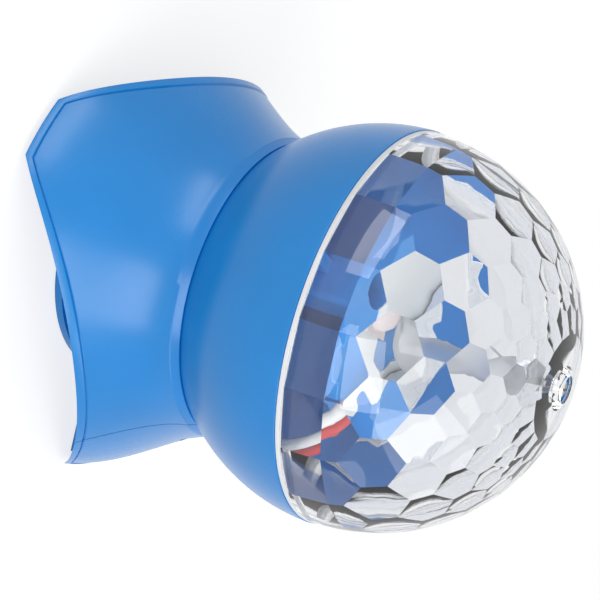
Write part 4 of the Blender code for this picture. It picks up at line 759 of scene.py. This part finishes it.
def facet_plane(row, place_index):
    """Normal and distance from the ball's centre of one facet; row 0 is the upright band at the seam."""
    pitch = 2 * math.pi / FACETS_AROUND
    step = place_index + (0.5 if row > 0 and row % 2 == 0 else 0.0)
    azimuth = math.radians(FACET_TURN) + step * pitch
    if row == 0:
        return Vector((math.cos(azimuth), math.sin(azimuth), 0.0)), DOME_BAND_RADIUS
    latitude = 2 * math.atan(math.exp(row * FACET_ROW_SHARE * pitch)) - math.pi / 2
    level = math.cos(latitude)
    return Vector((level * math.cos(azimuth), level * math.sin(azimuth), math.sin(latitude))), DOME_FACET_RADIUS


def meeting_point(planes):
    return Matrix([normal for normal, _ in planes]).inverted() @ Vector([distance for _, distance in planes])


def row_corners(row):
    """For each facet of a row, the corner above its right side and the corner at its top."""
    sides, tops = [], []
    for k in range(FACETS_AROUND):
        here, right = facet_plane(row, k), facet_plane(row, k + 1)
        if row == FACET_ROWS:
            sides.append(meeting_point([here, right, (UP, DOME_POLE_FLAT)]))
            continue
        shift = 0 if row % 2 == 1 else 1
        above, above_left = facet_plane(row + 1, k + shift), facet_plane(row + 1, k + shift - 1)
        sides.append(meeting_point([here, right, above]))
        tops.append(meeting_point([here, above_left, above]))
    return sides, tops


# %% Crowned facets
FACET_CROWN = 0.2 * MM
EDGE_PARTS = 4
CROWN_RINGS = 4


def is_facet(face):
    """A flat face at the facets' distance from the centre."""
    distance = abs(face.normal.dot(face.calc_center_median()))
    return abs(distance - DOME_FACET_RADIUS) < 0.02 * MM


def crown_facets(bm):
    """Swell each facet a little towards the centre, so that it gathers light as a weak lens."""
    bm.normal_update()
    edges = {edge for face in bm.faces if is_facet(face) for edge in face.edges if edge.calc_length() > 2.5 * MM}
    bmesh.ops.subdivide_edges(bm, edges=sorted(edges, key=lambda edge: edge.index), cuts=EDGE_PARTS - 1)
    facets = [face for face in bm.faces if is_facet(face)]
    for face in facets:
        corners = list(face.verts)
        centre = sum((corner.co for corner in corners), Vector()) / len(corners)
        inward = face.normal * (-1 if face.normal.dot(centre) > 0 else 1)
        bm.faces.remove(face)
        outer = corners
        for step in range(CROWN_RINGS - 1, 0, -1):
            share = step / CROWN_RINGS
            rise = inward * FACET_CROWN * (1 - share ** 2)
            inner = [bm.verts.new(centre + (corner.co - centre) * share + rise) for corner in corners]
            join_loops(bm, outer, inner)
            outer = inner
        join_loops(bm, outer, [bm.verts.new(centre + inward * FACET_CROWN)])
    return len(facets)


# %% Dome
SECTOR_STEPS = 10
DOME_ROWS = 56
HEAD_RECESS_RADIUS = 3.4 * MM
HEAD_RECESS_FLOOR = 47.7 * MM
DOME_SOCKET_TOP = 43.6 * MM
DOME_BOSS_END = 36.5 * MM
POST_TOP_RADIUS = 2.7 * MM
DOME_BOSS_RADIUS = 5.2 * MM


def dome():
    bm = bmesh.new()
    count = FACETS_AROUND
    steps = count * SECTOR_STEPS

    def ring(points):
        return [bm.verts.new(point) for point in points]

    def circle(radius, height):
        start = FACET_TURN + 180.0 / count
        return ring([polar(radius, start + 360.0 * k / steps, height) for k in range(steps)])

    def stretched(corners):
        points = []
        for k in range(count):
            start, end = corners[k], corners[(k + 1) % count]
            points += [start.lerp(end, part / SECTOR_STEPS) for part in range(SECTOR_STEPS)]
        return points

    def sector(loop, index):
        """The vertices of a fine ring from the corner before index to the corner at it."""
        start = (index - 1) % count * SECTOR_STEPS
        return [loop[(start + part) % steps] for part in range(SECTOR_STEPS + 1)]

    floor = (UP, DOME_SEAM)
    band = [(facet_plane(0, k), facet_plane(0, k + 1), facet_plane(1, k)) for k in range(count)]
    foot = ring(stretched([meeting_point([here, right, floor]) for here, right, _ in band]))
    band_top = ring([meeting_point(planes) for planes in band])
    rows = [row_corners(row) for row in range(1, FACET_ROWS + 1)]
    sides = [ring(side_points) for side_points, _ in rows[:-1]]
    tops = [ring(top_points) for _, top_points in rows[:-1]]
    pole_edge = ring(stretched(rows[-1][0]))
    for k in range(count):
        left = (k - 1) % count
        bm.faces.new(sector(foot, k) + [band_top[k], band_top[left]])
        bm.faces.new([band_top[left], band_top[k], sides[0][k], tops[0][k], sides[0][left]])
    for row in range(2, FACET_ROWS + 1):
        low_sides, low_tops = sides[row - 2], tops[row - 2]
        for k in range(count):
            left = (k - 1) % count
            below = k if row % 2 == 0 else left
            corners = [low_tops[below], low_sides[below], low_tops[(below + 1) % count]]
            if row < FACET_ROWS:
                corners += [sides[row - 1][k], tops[row - 1][k], sides[row - 1][left]]
            else:
                corners += sector(pole_edge, k)[::-1]
            bm.faces.new(corners)

    boss = [
        (DOME_BOSS_RADIUS, DOME_POLE_FLAT),
        (DOME_BOSS_RADIUS, DOME_BOSS_END),
        (POST_TOP_RADIUS + GAP, DOME_BOSS_END),
        (POST_TOP_RADIUS + GAP, DOME_SOCKET_TOP),
        (SHANK_RADIUS + GAP, DOME_SOCKET_TOP),
        (SHANK_RADIUS + GAP, HEAD_RECESS_FLOOR),
        (HEAD_RECESS_RADIUS, HEAD_RECESS_FLOOR),
    ]
    top_angle = math.acos(HEAD_RECESS_RADIUS / DOME_RADIUS)
    seam_angle = math.asin(DOME_SEAM / DOME_RADIUS)
    outside = arc(DOME_RADIUS, top_angle, seam_angle, DOME_ROWS)
    loops = [pole_edge] + [circle(radius, height) for radius, height in boss + outside] + [foot]
    for first, second in zip(loops, loops[1:]):
        join_loops(bm, first, second)
    print("Crowned facets:", crown_facets(bm))
    return place("dome_clear", bm, CLEAR_PLASTIC, BALL_CENTRE, smooth_angle=8.0)


dome_clear = stand_for(dome(), "clear_plastic", "dome", body="rotor")
# Light that a dome lets through isn't followed down to the deck, so a shadow here would leave it almost unlit.
dome_clear.visible_shadow = False
print("Dome:", points_of(dome_clear), "points,", FACETS_AROUND * (FACET_ROWS + 1), "facets")

# %% Painted bright rim of the dome
# This ring has no solid of its own in the CAD model. The photograph shows the dome's lowest edge bright.
# Its pale opaque colour is a painted highlight in place of the clear edge catching the light.
rim_low, rim_high = DOME_SEAM - 0.3 * MM, DOME_SEAM + 0.75 * MM
rim_inner, rim_outer = 49.4 * MM, 50.2 * MM
rim_section = [(rim_inner, rim_low), (rim_outer, rim_low), (rim_outer - 0.05 * MM, rim_high), (rim_inner, rim_high)]
dome_rim = turned("dome_rim", rounded(rim_section, 0.15 * MM, closed=True), PAINTED_BRIGHT_RIM, 180, BALL_CENTRE)
stand_for(dome_rim, "clear_plastic", body="rotor")
print("Rim:", points_of(dome_rim), "points")

# %% [markdown]
# ## Screws
# A small pan head has a domed top and a cross recess. One helper makes all that can be seen: the bright one
# in the dome's pole, three deep in the deck's cups and two in the back of the bell.

# %% Screws
def screw(name, length, head_radius, at, turn=ORIGIN):
    height = 1.5 * MM
    crown = [(head_radius * math.cos(math.radians(t)) ** 0.5, height * (0.42 + 0.58 * math.sin(math.radians(t))))
             for t in range(0, 90, 15)]
    section = [(0, -length), (SHANK_RADIUS * 0.6, -length), (SHANK_RADIUS, -length + MM), (SHANK_RADIUS, 0),
               (head_radius * 0.94, 0), (head_radius, 0.1 * MM)] + crown + [(0, height)]
    piece = turned(name, section, PLATED_STEEL, 48)
    size = (head_radius * 1.25, head_radius * 0.27, 1.7 * MM)
    arms = [block(size, (0, 0, height), (0, 0, angle), PLATED_STEEL) for angle in (0.5, 0.5 + math.pi / 2)]
    combine(piece, arms, "DIFFERENCE")
    piece.location = STAND_AXIS + Vector(at)
    piece.rotation_euler = turn
    return piece


screws = []
pole_screw = screw("pole_screw", SHANK_LENGTH, 2.3 * MM, (0, 0, BALL_Z + HEAD_RECESS_FLOOR + GAP))
screws.append(stand_for(pole_screw, "plated_steel", "dome_screw", body="rotor"))
for index, azimuth in enumerate(DECK_POST_AZIMUTHS):
    at = polar(DECK_POST_AT, azimuth, CUP_SEAT_Z + GAP)
    node = "deck_screw_%d" % (index + 1)
    screws.append(stand_for(screw("pan_" + node, SHANK_LENGTH, HEAD_RADIUS, at), "plated_steel", node))
for side, x in SIDES:
    node = "shell_screw_" + side
    at = (x, SIDE_SCREW_SEAT + GAP, SIDE_BOSS_Z)
    piece = screw("pan_" + node, SIDE_SCREW_LENGTH, HEAD_RADIUS, at, ALONG_PLUS_Y)
    screws.append(stand_for(piece, "plated_steel", node))
print("Screws:", len(screws))

# %% [markdown]
# ## Deck, light board and lights
# Through the dome one sees a blue deck with a skirt and three screw cups, the white light board on it with a
# square emitter under a domed lens for each colour, and a pair of leads that climbs over the deck's edge.

# %% Light deck
DECK_BOTTOM_Z = DECK_TOP_Z - 2.0 * MM
LEAD_AZIMUTH = 333.0
LEAD_RADIUS = 1.0 * MM
LEAD_SPACING = 2.5 * MM
REFLECTOR_RADIUS = 19.9 * MM
REFLECTOR_BORE = 6.0 * MM


def light_deck():
    bore, inner = 2.1 * MM, DECK_RADIUS - 1.4 * MM
    skirt_end = DECK_BOTTOM_Z - 2.4 * MM
    section = [(bore, DECK_BOTTOM_Z), (inner, DECK_BOTTOM_Z), (inner, skirt_end), (DECK_RADIUS, skirt_end),
               (DECK_RADIUS, DECK_TOP_Z), (bore, DECK_TOP_Z)]
    plate = turned("deck_plate", rounded(section, 0.3 * MM, closed=True), steps=144)
    cups, holes = [], []
    for azimuth in DECK_POST_AZIMUTHS:
        at = polar(DECK_POST_AT, azimuth)
        cups.append(rod(4.3 * MM, DECK_CUP_Z, DECK_TOP_Z - INTO_WALL, at))
        holes.append(rod(HEAD_RADIUS + GAP, CUP_SEAT_Z, DECK_TOP_Z + CUT_PAST, at))
        holes.append(shank_bore(DECK_CUP_Z - CUT_PAST, DECK_TOP_Z, at))
    width = LEAD_SPACING + 2 * LEAD_RADIUS + 2 * GAP
    holes.append(block((8.0 * MM, width, 10.0 * MM), polar(DECK_RADIUS, LEAD_AZIMUTH, DECK_TOP_Z),
                       about_z(LEAD_AZIMUTH)))
    return combine(combine(plate, cups, "UNION"), holes, "DIFFERENCE")


def reflector():
    """A thin white sheet under the light board. It has no solid of its own in the CAD model."""
    section = box_section(REFLECTOR_BORE, REFLECTOR_RADIUS, DECK_TOP_Z - 0.05 * MM, DECK_TOP_Z + 0.15 * MM)
    holes = [rod(HEAD_RADIUS + GAP, DECK_TOP_Z - MM, DECK_TOP_Z + MM, polar(DECK_POST_AT, azimuth),
                 finish=WHITE_BOARD) for azimuth in DECK_POST_AZIMUTHS]
    return combine(turned("reflector_sheet", section, WHITE_BOARD, 120), holes, "DIFFERENCE")


deck_plate = stand_for(light_deck(), "white_plastic", "light_deck")
print("Light deck:", points_of(deck_plate), "points")
reflector_sheet = stand_for(reflector(), "white_board")
print("Reflector:", points_of(reflector_sheet), "points")

# %% Light board and emitters
BOARD_BOTTOM_Z = DECK_TOP_Z + GAP
BOARD_TOP_Z = BOARD_BOTTOM_Z + BOARD_THICKNESS
BOARD_RADIUS = 17.8 * MM
BOARD_BORE = 7.0 * MM
EMITTER_AT = (BOARD_RADIUS + BOARD_BORE) / 2
EMITTER_SIZE = 7.6 * MM
FIXING_HOLE_AT = 15.6 * MM
FIXING_HOLE_AZIMUTH = 262.0
EMITTERS = (("red", 285.0), ("green", 45.0), ("blue", 165.0))


def light_board():
    section = rounded(box_section(BOARD_BORE, BOARD_RADIUS, BOARD_BOTTOM_Z, BOARD_TOP_Z), 0.15 * MM, closed=True)
    hole = rod(1.1 * MM, BOARD_BOTTOM_Z - MM, BOARD_TOP_Z + MM, polar(FIXING_HOLE_AT, FIXING_HOLE_AZIMUTH),
               steps=32, finish=WHITE_BOARD)
    return combine(turned("board_disc", section, WHITE_BOARD, 120), [hole], "DIFFERENCE")


def emitter(colour, azimuth):
    """A square base with a low lens on it, as one body."""
    base, height = BOARD_TOP_Z + GAP, 1.4 * MM
    lens_radius, lens_rise, sunk = EMITTER_SIZE * 0.4, 2.2 * MM, 0.6 * MM
    finish = EMITTER_LENSES[colour]
    outline = rounded_outline(EMITTER_SIZE, EMITTER_SIZE, 0.5 * MM)
    body = prism(colour + "_light", outline, base, base + height, polar(EMITTER_AT, azimuth), about_z(azimuth),
                 finish)
    section = [(0, -sunk), (lens_radius, -sunk)]
    for angle in spread(0, math.pi / 2, 12)[:-1]:
        section.append((lens_radius * math.cos(angle), lens_rise * math.sin(angle)))
    section.append((0, lens_rise))
    cap = turned("Tool", section, finish, 64, polar(EMITTER_AT, azimuth, base + height))
    return combine(body, [cap], "UNION")


board_disc = stand_for(light_board(), "white_board", "light_board")
for colour, azimuth in EMITTERS:
    stand_for(emitter(colour, azimuth), colour + "_emitter", colour + "_emitter")
print("Light board:", points_of(board_disc), "points and", len(EMITTERS), "emitters")

# %% Leads
def smooth_points(stops, parts=10):
    """Points on a smooth curve through the stops."""
    padded = [2 * stops[0] - stops[1]] + stops + [2 * stops[-1] - stops[-2]]
    points = []
    for before, start, end, after in zip(padded, padded[1:], padded[2:], padded[3:]):
        for k in range(parts):
            t = k / parts
            points.append(0.5 * (2 * start + (end - before) * t
                                 + (2 * before - 5 * start + 4 * end - after) * t ** 2
                                 + (3 * start - before - 3 * end + after) * t ** 3))
    return points + [stops[-1]]


def wire(name, points, radius, finish):
    curve = bpy.data.curves.new(name, "CURVE")
    curve.dimensions = "3D"
    curve.bevel_depth = radius
    curve.bevel_resolution = 5
    curve.use_fill_caps = True
    spline = curve.splines.new("POLY")
    spline.points.add(len(points) - 1)
    for slot, point in zip(spline.points, points):
        slot.co = (*point, 1.0)
    spline.use_smooth = True
    curve.materials.append(finish)
    return add_object(name, curve)


def light_lead_stops(side):
    across = side * LEAD_SPACING / 2

    def stop(radius, z, azimuth):
        return STAND_AXIS + polar(radius, azimuth, z) + polar(across, azimuth + 90.0)

    driver_z = DRIVER_Z + BOARD_THICKNESS + LEAD_RADIUS + GAP
    start = STAND_AXIS + Vector((7.815 * MM, across - DRIVER_POST_AT, driver_z))
    lead_z = BOARD_TOP_Z + LEAD_RADIUS + GAP
    return [start, start + Vector((0, 0, 2 * LEAD_SPACING)),
            stop(32.5 * MM, BALL_Z - 24.0 * MM, 352.0), stop(38.0 * MM, BALL_Z - 5.0 * MM, 346.0),
            stop(33.0 * MM, BALL_Z + 5.2 * MM, 339.5), stop(DECK_RADIUS - 4.0 * MM, lead_z, LEAD_AZIMUTH),
            stop(BOARD_RADIUS - LEAD_SPACING, lead_z, LEAD_AZIMUTH)]


for name, side, finish in (("white", -1, WHITE_WIRE), ("red", 1, RED_WIRE)):
    lead = wire("lead_to_lights_" + name, smooth_points(light_lead_stops(side)), LEAD_RADIUS, finish)
    stand_for(lead, name + "_lead", "light_lead_" + name)
print("Leads to the light board: 2")

# %% Drive post
POST_BOTTOM_Z = BOARD_TOP_Z + 1.0 * MM


def drive_post():
    bore, screw_bore = 1.8 * MM, SHANK_RADIUS + GAP
    hub, waist, hub_top = 5.4 * MM, 3.4 * MM, POST_BOTTOM_Z + 5.6 * MM
    top = BALL_Z + DOME_SOCKET_TOP - GAP
    shaft_end, screw_end = POST_BOTTOM_Z + 9.0 * MM, top - SHANK_LENGTH
    section = [(0, shaft_end), (bore, shaft_end), (bore, POST_BOTTOM_Z), (hub, POST_BOTTOM_Z), (hub, hub_top),
               (waist, hub_top), (POST_TOP_RADIUS, BALL_Z + DOME_BOSS_END - GAP), (POST_TOP_RADIUS, top),
               (screw_bore, top), (screw_bore, screw_end), (0, screw_end)]
    return turned("post_body", rounded(section, 0.5 * MM, 4, skip=(1, 2, 8, 9)), CLEAR_POST, 96)


post_body = stand_for(drive_post(), "clear_plastic", "drive_post", body="rotor")
print("Drive post:", points_of(post_body), "points")

# %% [markdown]
# ## Floor plate, pads, cells and button
# Underneath, a three-armed plate holds the cells in a box with a hinged door, and each arm ends in a rubber
# pad over its screw. On the back a round white button stands out of its tube in the wall.

# %% Floor plate
CELL_RADIUS = 5.25 * MM
CELL_PITCH = 11.0 * MM
CELL_LENGTH = 44.5 * MM
CELL_Z = PLATE_TOP_Z + GAP + CELL_RADIUS
BOX_ROOF = 1.4 * MM
CONTACT = 0.4 * MM
SPRING_ROOM = 4.0 * MM
BOX_TOP_Z = CELL_Z + CELL_RADIUS + GAP + BOX_ROOF
BOX_LENGTH = CELL_LENGTH + SPRING_ROOM + 2 * CONTACT + 5 * GAP
BOX_WIDTH = 2 * CELL_PITCH + 2 * CELL_RADIUS + 1.2 * MM
ARM_HALF = 8.0 * MM
ARM_FILLET = 20.0 * MM
HUB_RADIUS = 33.0 * MM
PAD_RECESS = 0.8 * MM


def plate_outline(steps=16):
    across = ARM_HALF + ARM_FILLET
    along = math.sqrt((HUB_RADIUS + ARM_FILLET) ** 2 - across ** 2)
    turn_out = math.degrees(math.atan2(across, along))
    arm_end = bell_radius(RIM_Z) - BELL_WALL - 0.6 * MM - GAP
    outline = []
    for azimuth, _ in FEET:
        radial, side = polar(1.0, azimuth), polar(1.0, azimuth + 90.0)
        for sign in (-1, 1):
            centre = radial * along + side * across * sign
            start = azimuth - sign * 90.0
            fillet = [centre + polar(ARM_FILLET, angle)
                      for angle in spread(start, start - sign * (90.0 - turn_out), steps)]
            corner = radial * math.sqrt(arm_end ** 2 - ARM_HALF ** 2) + side * ARM_HALF * sign
            outline += fillet[::-1] + [corner] if sign < 0 else [corner] + fillet
        outline += [polar(HUB_RADIUS, angle)
                    for angle in spread(azimuth + turn_out, azimuth + 120.0 - turn_out, 2 * steps)[1:-1]]
    return [point.xy for point in outline]


def floor_plate():
    plate = prism("floor_plate", plate_outline(), PLATE_LOW_Z, PLATE_TOP_Z)
    wall = 2.4 * MM
    size = (BOX_LENGTH + wall, BOX_WIDTH + wall, BOX_TOP_Z - PLATE_TOP_Z + INTO_WALL)
    added = [block(size, (0, 0, BOX_TOP_Z - size[2] / 2))]
    inner_top = BOX_TOP_Z - BOX_ROOF
    depth = inner_top + CUT_PAST
    holes = [block((BOX_LENGTH, BOX_WIDTH, depth), (0, 0, inner_top - depth / 2)),
             rod(3.2 * MM, inner_top - MM, BOX_TOP_Z + MM)]
    for azimuth, _ in FEET:
        at = polar(PLATE_SCREW_AT, azimuth)
        seat = PLATE_BOSS_TOP - 0.8 * MM - GAP
        added.append(rod(4.6 * MM, PLATE_TOP_Z - INTO_WALL, PLATE_BOSS_TOP, at))
        holes += [rod(5.9 * MM, -CUT_PAST, PLATE_LOW_Z + PAD_RECESS, at, steps=64),
                  rod(HEAD_RADIUS + GAP, 0, seat, at), shank_bore(0, PLATE_BOSS_TOP + MM, at)]
    return combine(combine(plate, added, "UNION"), holes, "DIFFERENCE")


def foot_pad(azimuth):
    top = PLATE_LOW_Z + PAD_RECESS - GAP
    section = rounded(box_section(0, 5.6 * MM, 0, top), 0.35 * MM, 4)
    return turned("pad_%d" % round(azimuth), section, RUBBER, 64, polar(PLATE_SCREW_AT, azimuth))


plate = stand_for(soften(floor_plate()), "blue_plastic", "base_plate")
for azimuth, _ in FEET:
    stand_for(foot_pad(azimuth), "dark_rubber", "foot_pad_%d" % round(azimuth))
print("Floor plate:", points_of(plate), "points")

# %% Cells and their springs
for index in range(3):
    y = (index - 1) * CELL_PITCH
    flip = 1 if index % 2 == 0 else -1
    plus_end = BOX_LENGTH / 2 - CONTACT - 2 * GAP
    minus_end, shoulder = plus_end - CELL_LENGTH, plus_end - MM
    section = [(0, minus_end), (4.4 * MM, minus_end), (CELL_RADIUS, minus_end + 0.85 * MM),
               (CELL_RADIUS, shoulder - 0.85 * MM), (4.4 * MM, shoulder), (1.9 * MM, shoulder),
               (1.9 * MM, plus_end), (0, plus_end)]
    number = "_%d" % (index + 1)
    cell = turned("power" + number, rounded(section, 0.3 * MM), CELL_WRAP, 64, (0, y, CELL_Z),
                  (0, flip * math.pi / 2, 0))
    stand_for(cell, "cell_wrap", "cell" + number)
    start_x = -flip * (BOX_LENGTH / 2 - GAP - CONTACT - GAP)
    coil = []
    for share in spread(0, 1, 96):
        around = polar((3.4 - 1.3 * share) * MM, 1080.0 * share)
        x = start_x + flip * (0.3 + 3.1 * share) * MM
        coil.append(STAND_AXIS + Vector((x, y + around.x, CELL_Z + around.y)))
    spring = wire("spring" + number, coil, 0.3 * MM, BRIGHT_STEEL)
    stand_for(spring, "bright_steel", "contact_spring" + number)
print("Cells: 3")

# %% Power button
button_section = [(0, BUTTON_PROUD - BUTTON_LENGTH), (BUTTON_RADIUS, BUTTON_PROUD - BUTTON_LENGTH),
                  (BUTTON_RADIUS, BUTTON_PROUD), (2.6 * MM, BUTTON_PROUD), (2.2 * MM, BUTTON_PROUD - 0.3 * MM),
                  (0, BUTTON_PROUD - 0.45 * MM)]
button = turned("button_cap", rounded(button_section, 0.6 * MM, 5), WHITE_PLASTIC, 96, BUTTON_PLACE, BUTTON_TURN)
stand_for(button, "white_plastic", "power_button", body="button")
print("Button:", points_of(button), "points")

# %% [markdown]
# ## Finishes on the CAD pieces that stay
# Small or hidden pieces whose CAD shape is already right keep it and get their finish; the door and switch get
# moulded edges.

# %% Finish the CAD pieces
KEPT_FINISHES = {
    "battery_door": BLUE_PLASTIC, "gearbox": WHITE_PLASTIC, "power_switch": GREY_PLASTIC,
    "driver_board": GREEN_BOARD, "motor": BRIGHT_STEEL, "output_shaft": BRIGHT_STEEL,
    "supply_lead_red": RED_WIRE, "supply_lead_black": BLACK_WIRE,
}
for name, node in frame["nodes"].items():
    finish = KEPT_FINISHES.get(name, PLATED_STEEL)
    node.data.materials.clear()
    node.data.materials.append(finish)
for name in ("battery_door", "power_switch"):
    soften(frame["nodes"][name])
print("CAD pieces finished")

# %% [markdown]
# ## Floor, light and world
# The lamp stands on a plain white floor in soft light. Most of the floor's white is its own and is added only
# for the camera and for what the dome reflects and lets through. The rest comes from the lamps, so the object's
# shadow still falls on it. The world does the same.

# %% Floor
FLOOR_OWN_WHITE = 0.72
WORLD_STRENGTH = 0.5


def seen_brightness(tree):
    """1 for what the camera, a reflection or clear plastic shows, 0 for what only lights the object."""
    seen = tree.nodes.new("ShaderNodeLightPath")
    direct = math_node(tree, "MAXIMUM", seen.outputs["Is Camera Ray"], seen.outputs["Is Glossy Ray"])
    return math_node(tree, "MAXIMUM", direct, seen.outputs["Is Transmission Ray"])


paper, tree, shader = base_material("Paper white floor", (0.45, 0.45, 0.45), {
    "Roughness": 0.9, "Specular IOR Level": 0.0, "Emission Color": WHITE})
feed(tree, shader, {"Emission Strength": math_node(tree, "MULTIPLY", seen_brightness(tree), FLOOR_OWN_WHITE)})
bm = bmesh.new()
bmesh.ops.create_grid(bm, x_segments=1, y_segments=1, size=6.0)
floor = place("Floor", bm, paper, -STAND_AXIS, smooth_angle=None)
print("Floor ready")

# %% Lamps and world
def soft_lamp(name, place_at, size, power):
    """A soft lamp that looks at the ball's centre."""
    data = bpy.data.lights.new(name, "AREA")
    data.shape = "RECTANGLE"
    data.size, data.size_y = size
    data.energy = power
    lamp = add_object(name, data)
    lamp.location = place_at
    lamp.rotation_euler = (AXIS - place_at).to_track_quat("-Z", "Y").to_euler()


def camera_point(right, up, back):
    """A point given along the camera's own axes from the ball's centre, in metres."""
    return AXIS + CAMERA_RIGHT * right + CAMERA_UP * up + CAMERA_BACK * back


soft_lamp("Key softbox", camera_point(-0.25, 0.75, 0.55), (0.7, 0.7), 6.0)
soft_lamp("Front softbox", camera_point(-0.20, -0.45, 1.00), (0.8, 0.4), 4.0)
soft_lamp("Low softbox", camera_point(0.30, -0.80, 0.45), (0.6, 0.6), 2.5)

world = bpy.data.worlds.new("Pale room")
bpy.context.scene.world = world
world.use_nodes = True
tree = world.node_tree
bright = math_node(tree, "MULTIPLY", seen_brightness(tree), 1.0 - WORLD_STRENGTH)
feed(tree, tree.nodes["Background"], {"Color": WHITE, "Strength": math_node(tree, "ADD", bright, WORLD_STRENGTH)})
bpy.context.scene.view_settings.view_transform = "Standard"
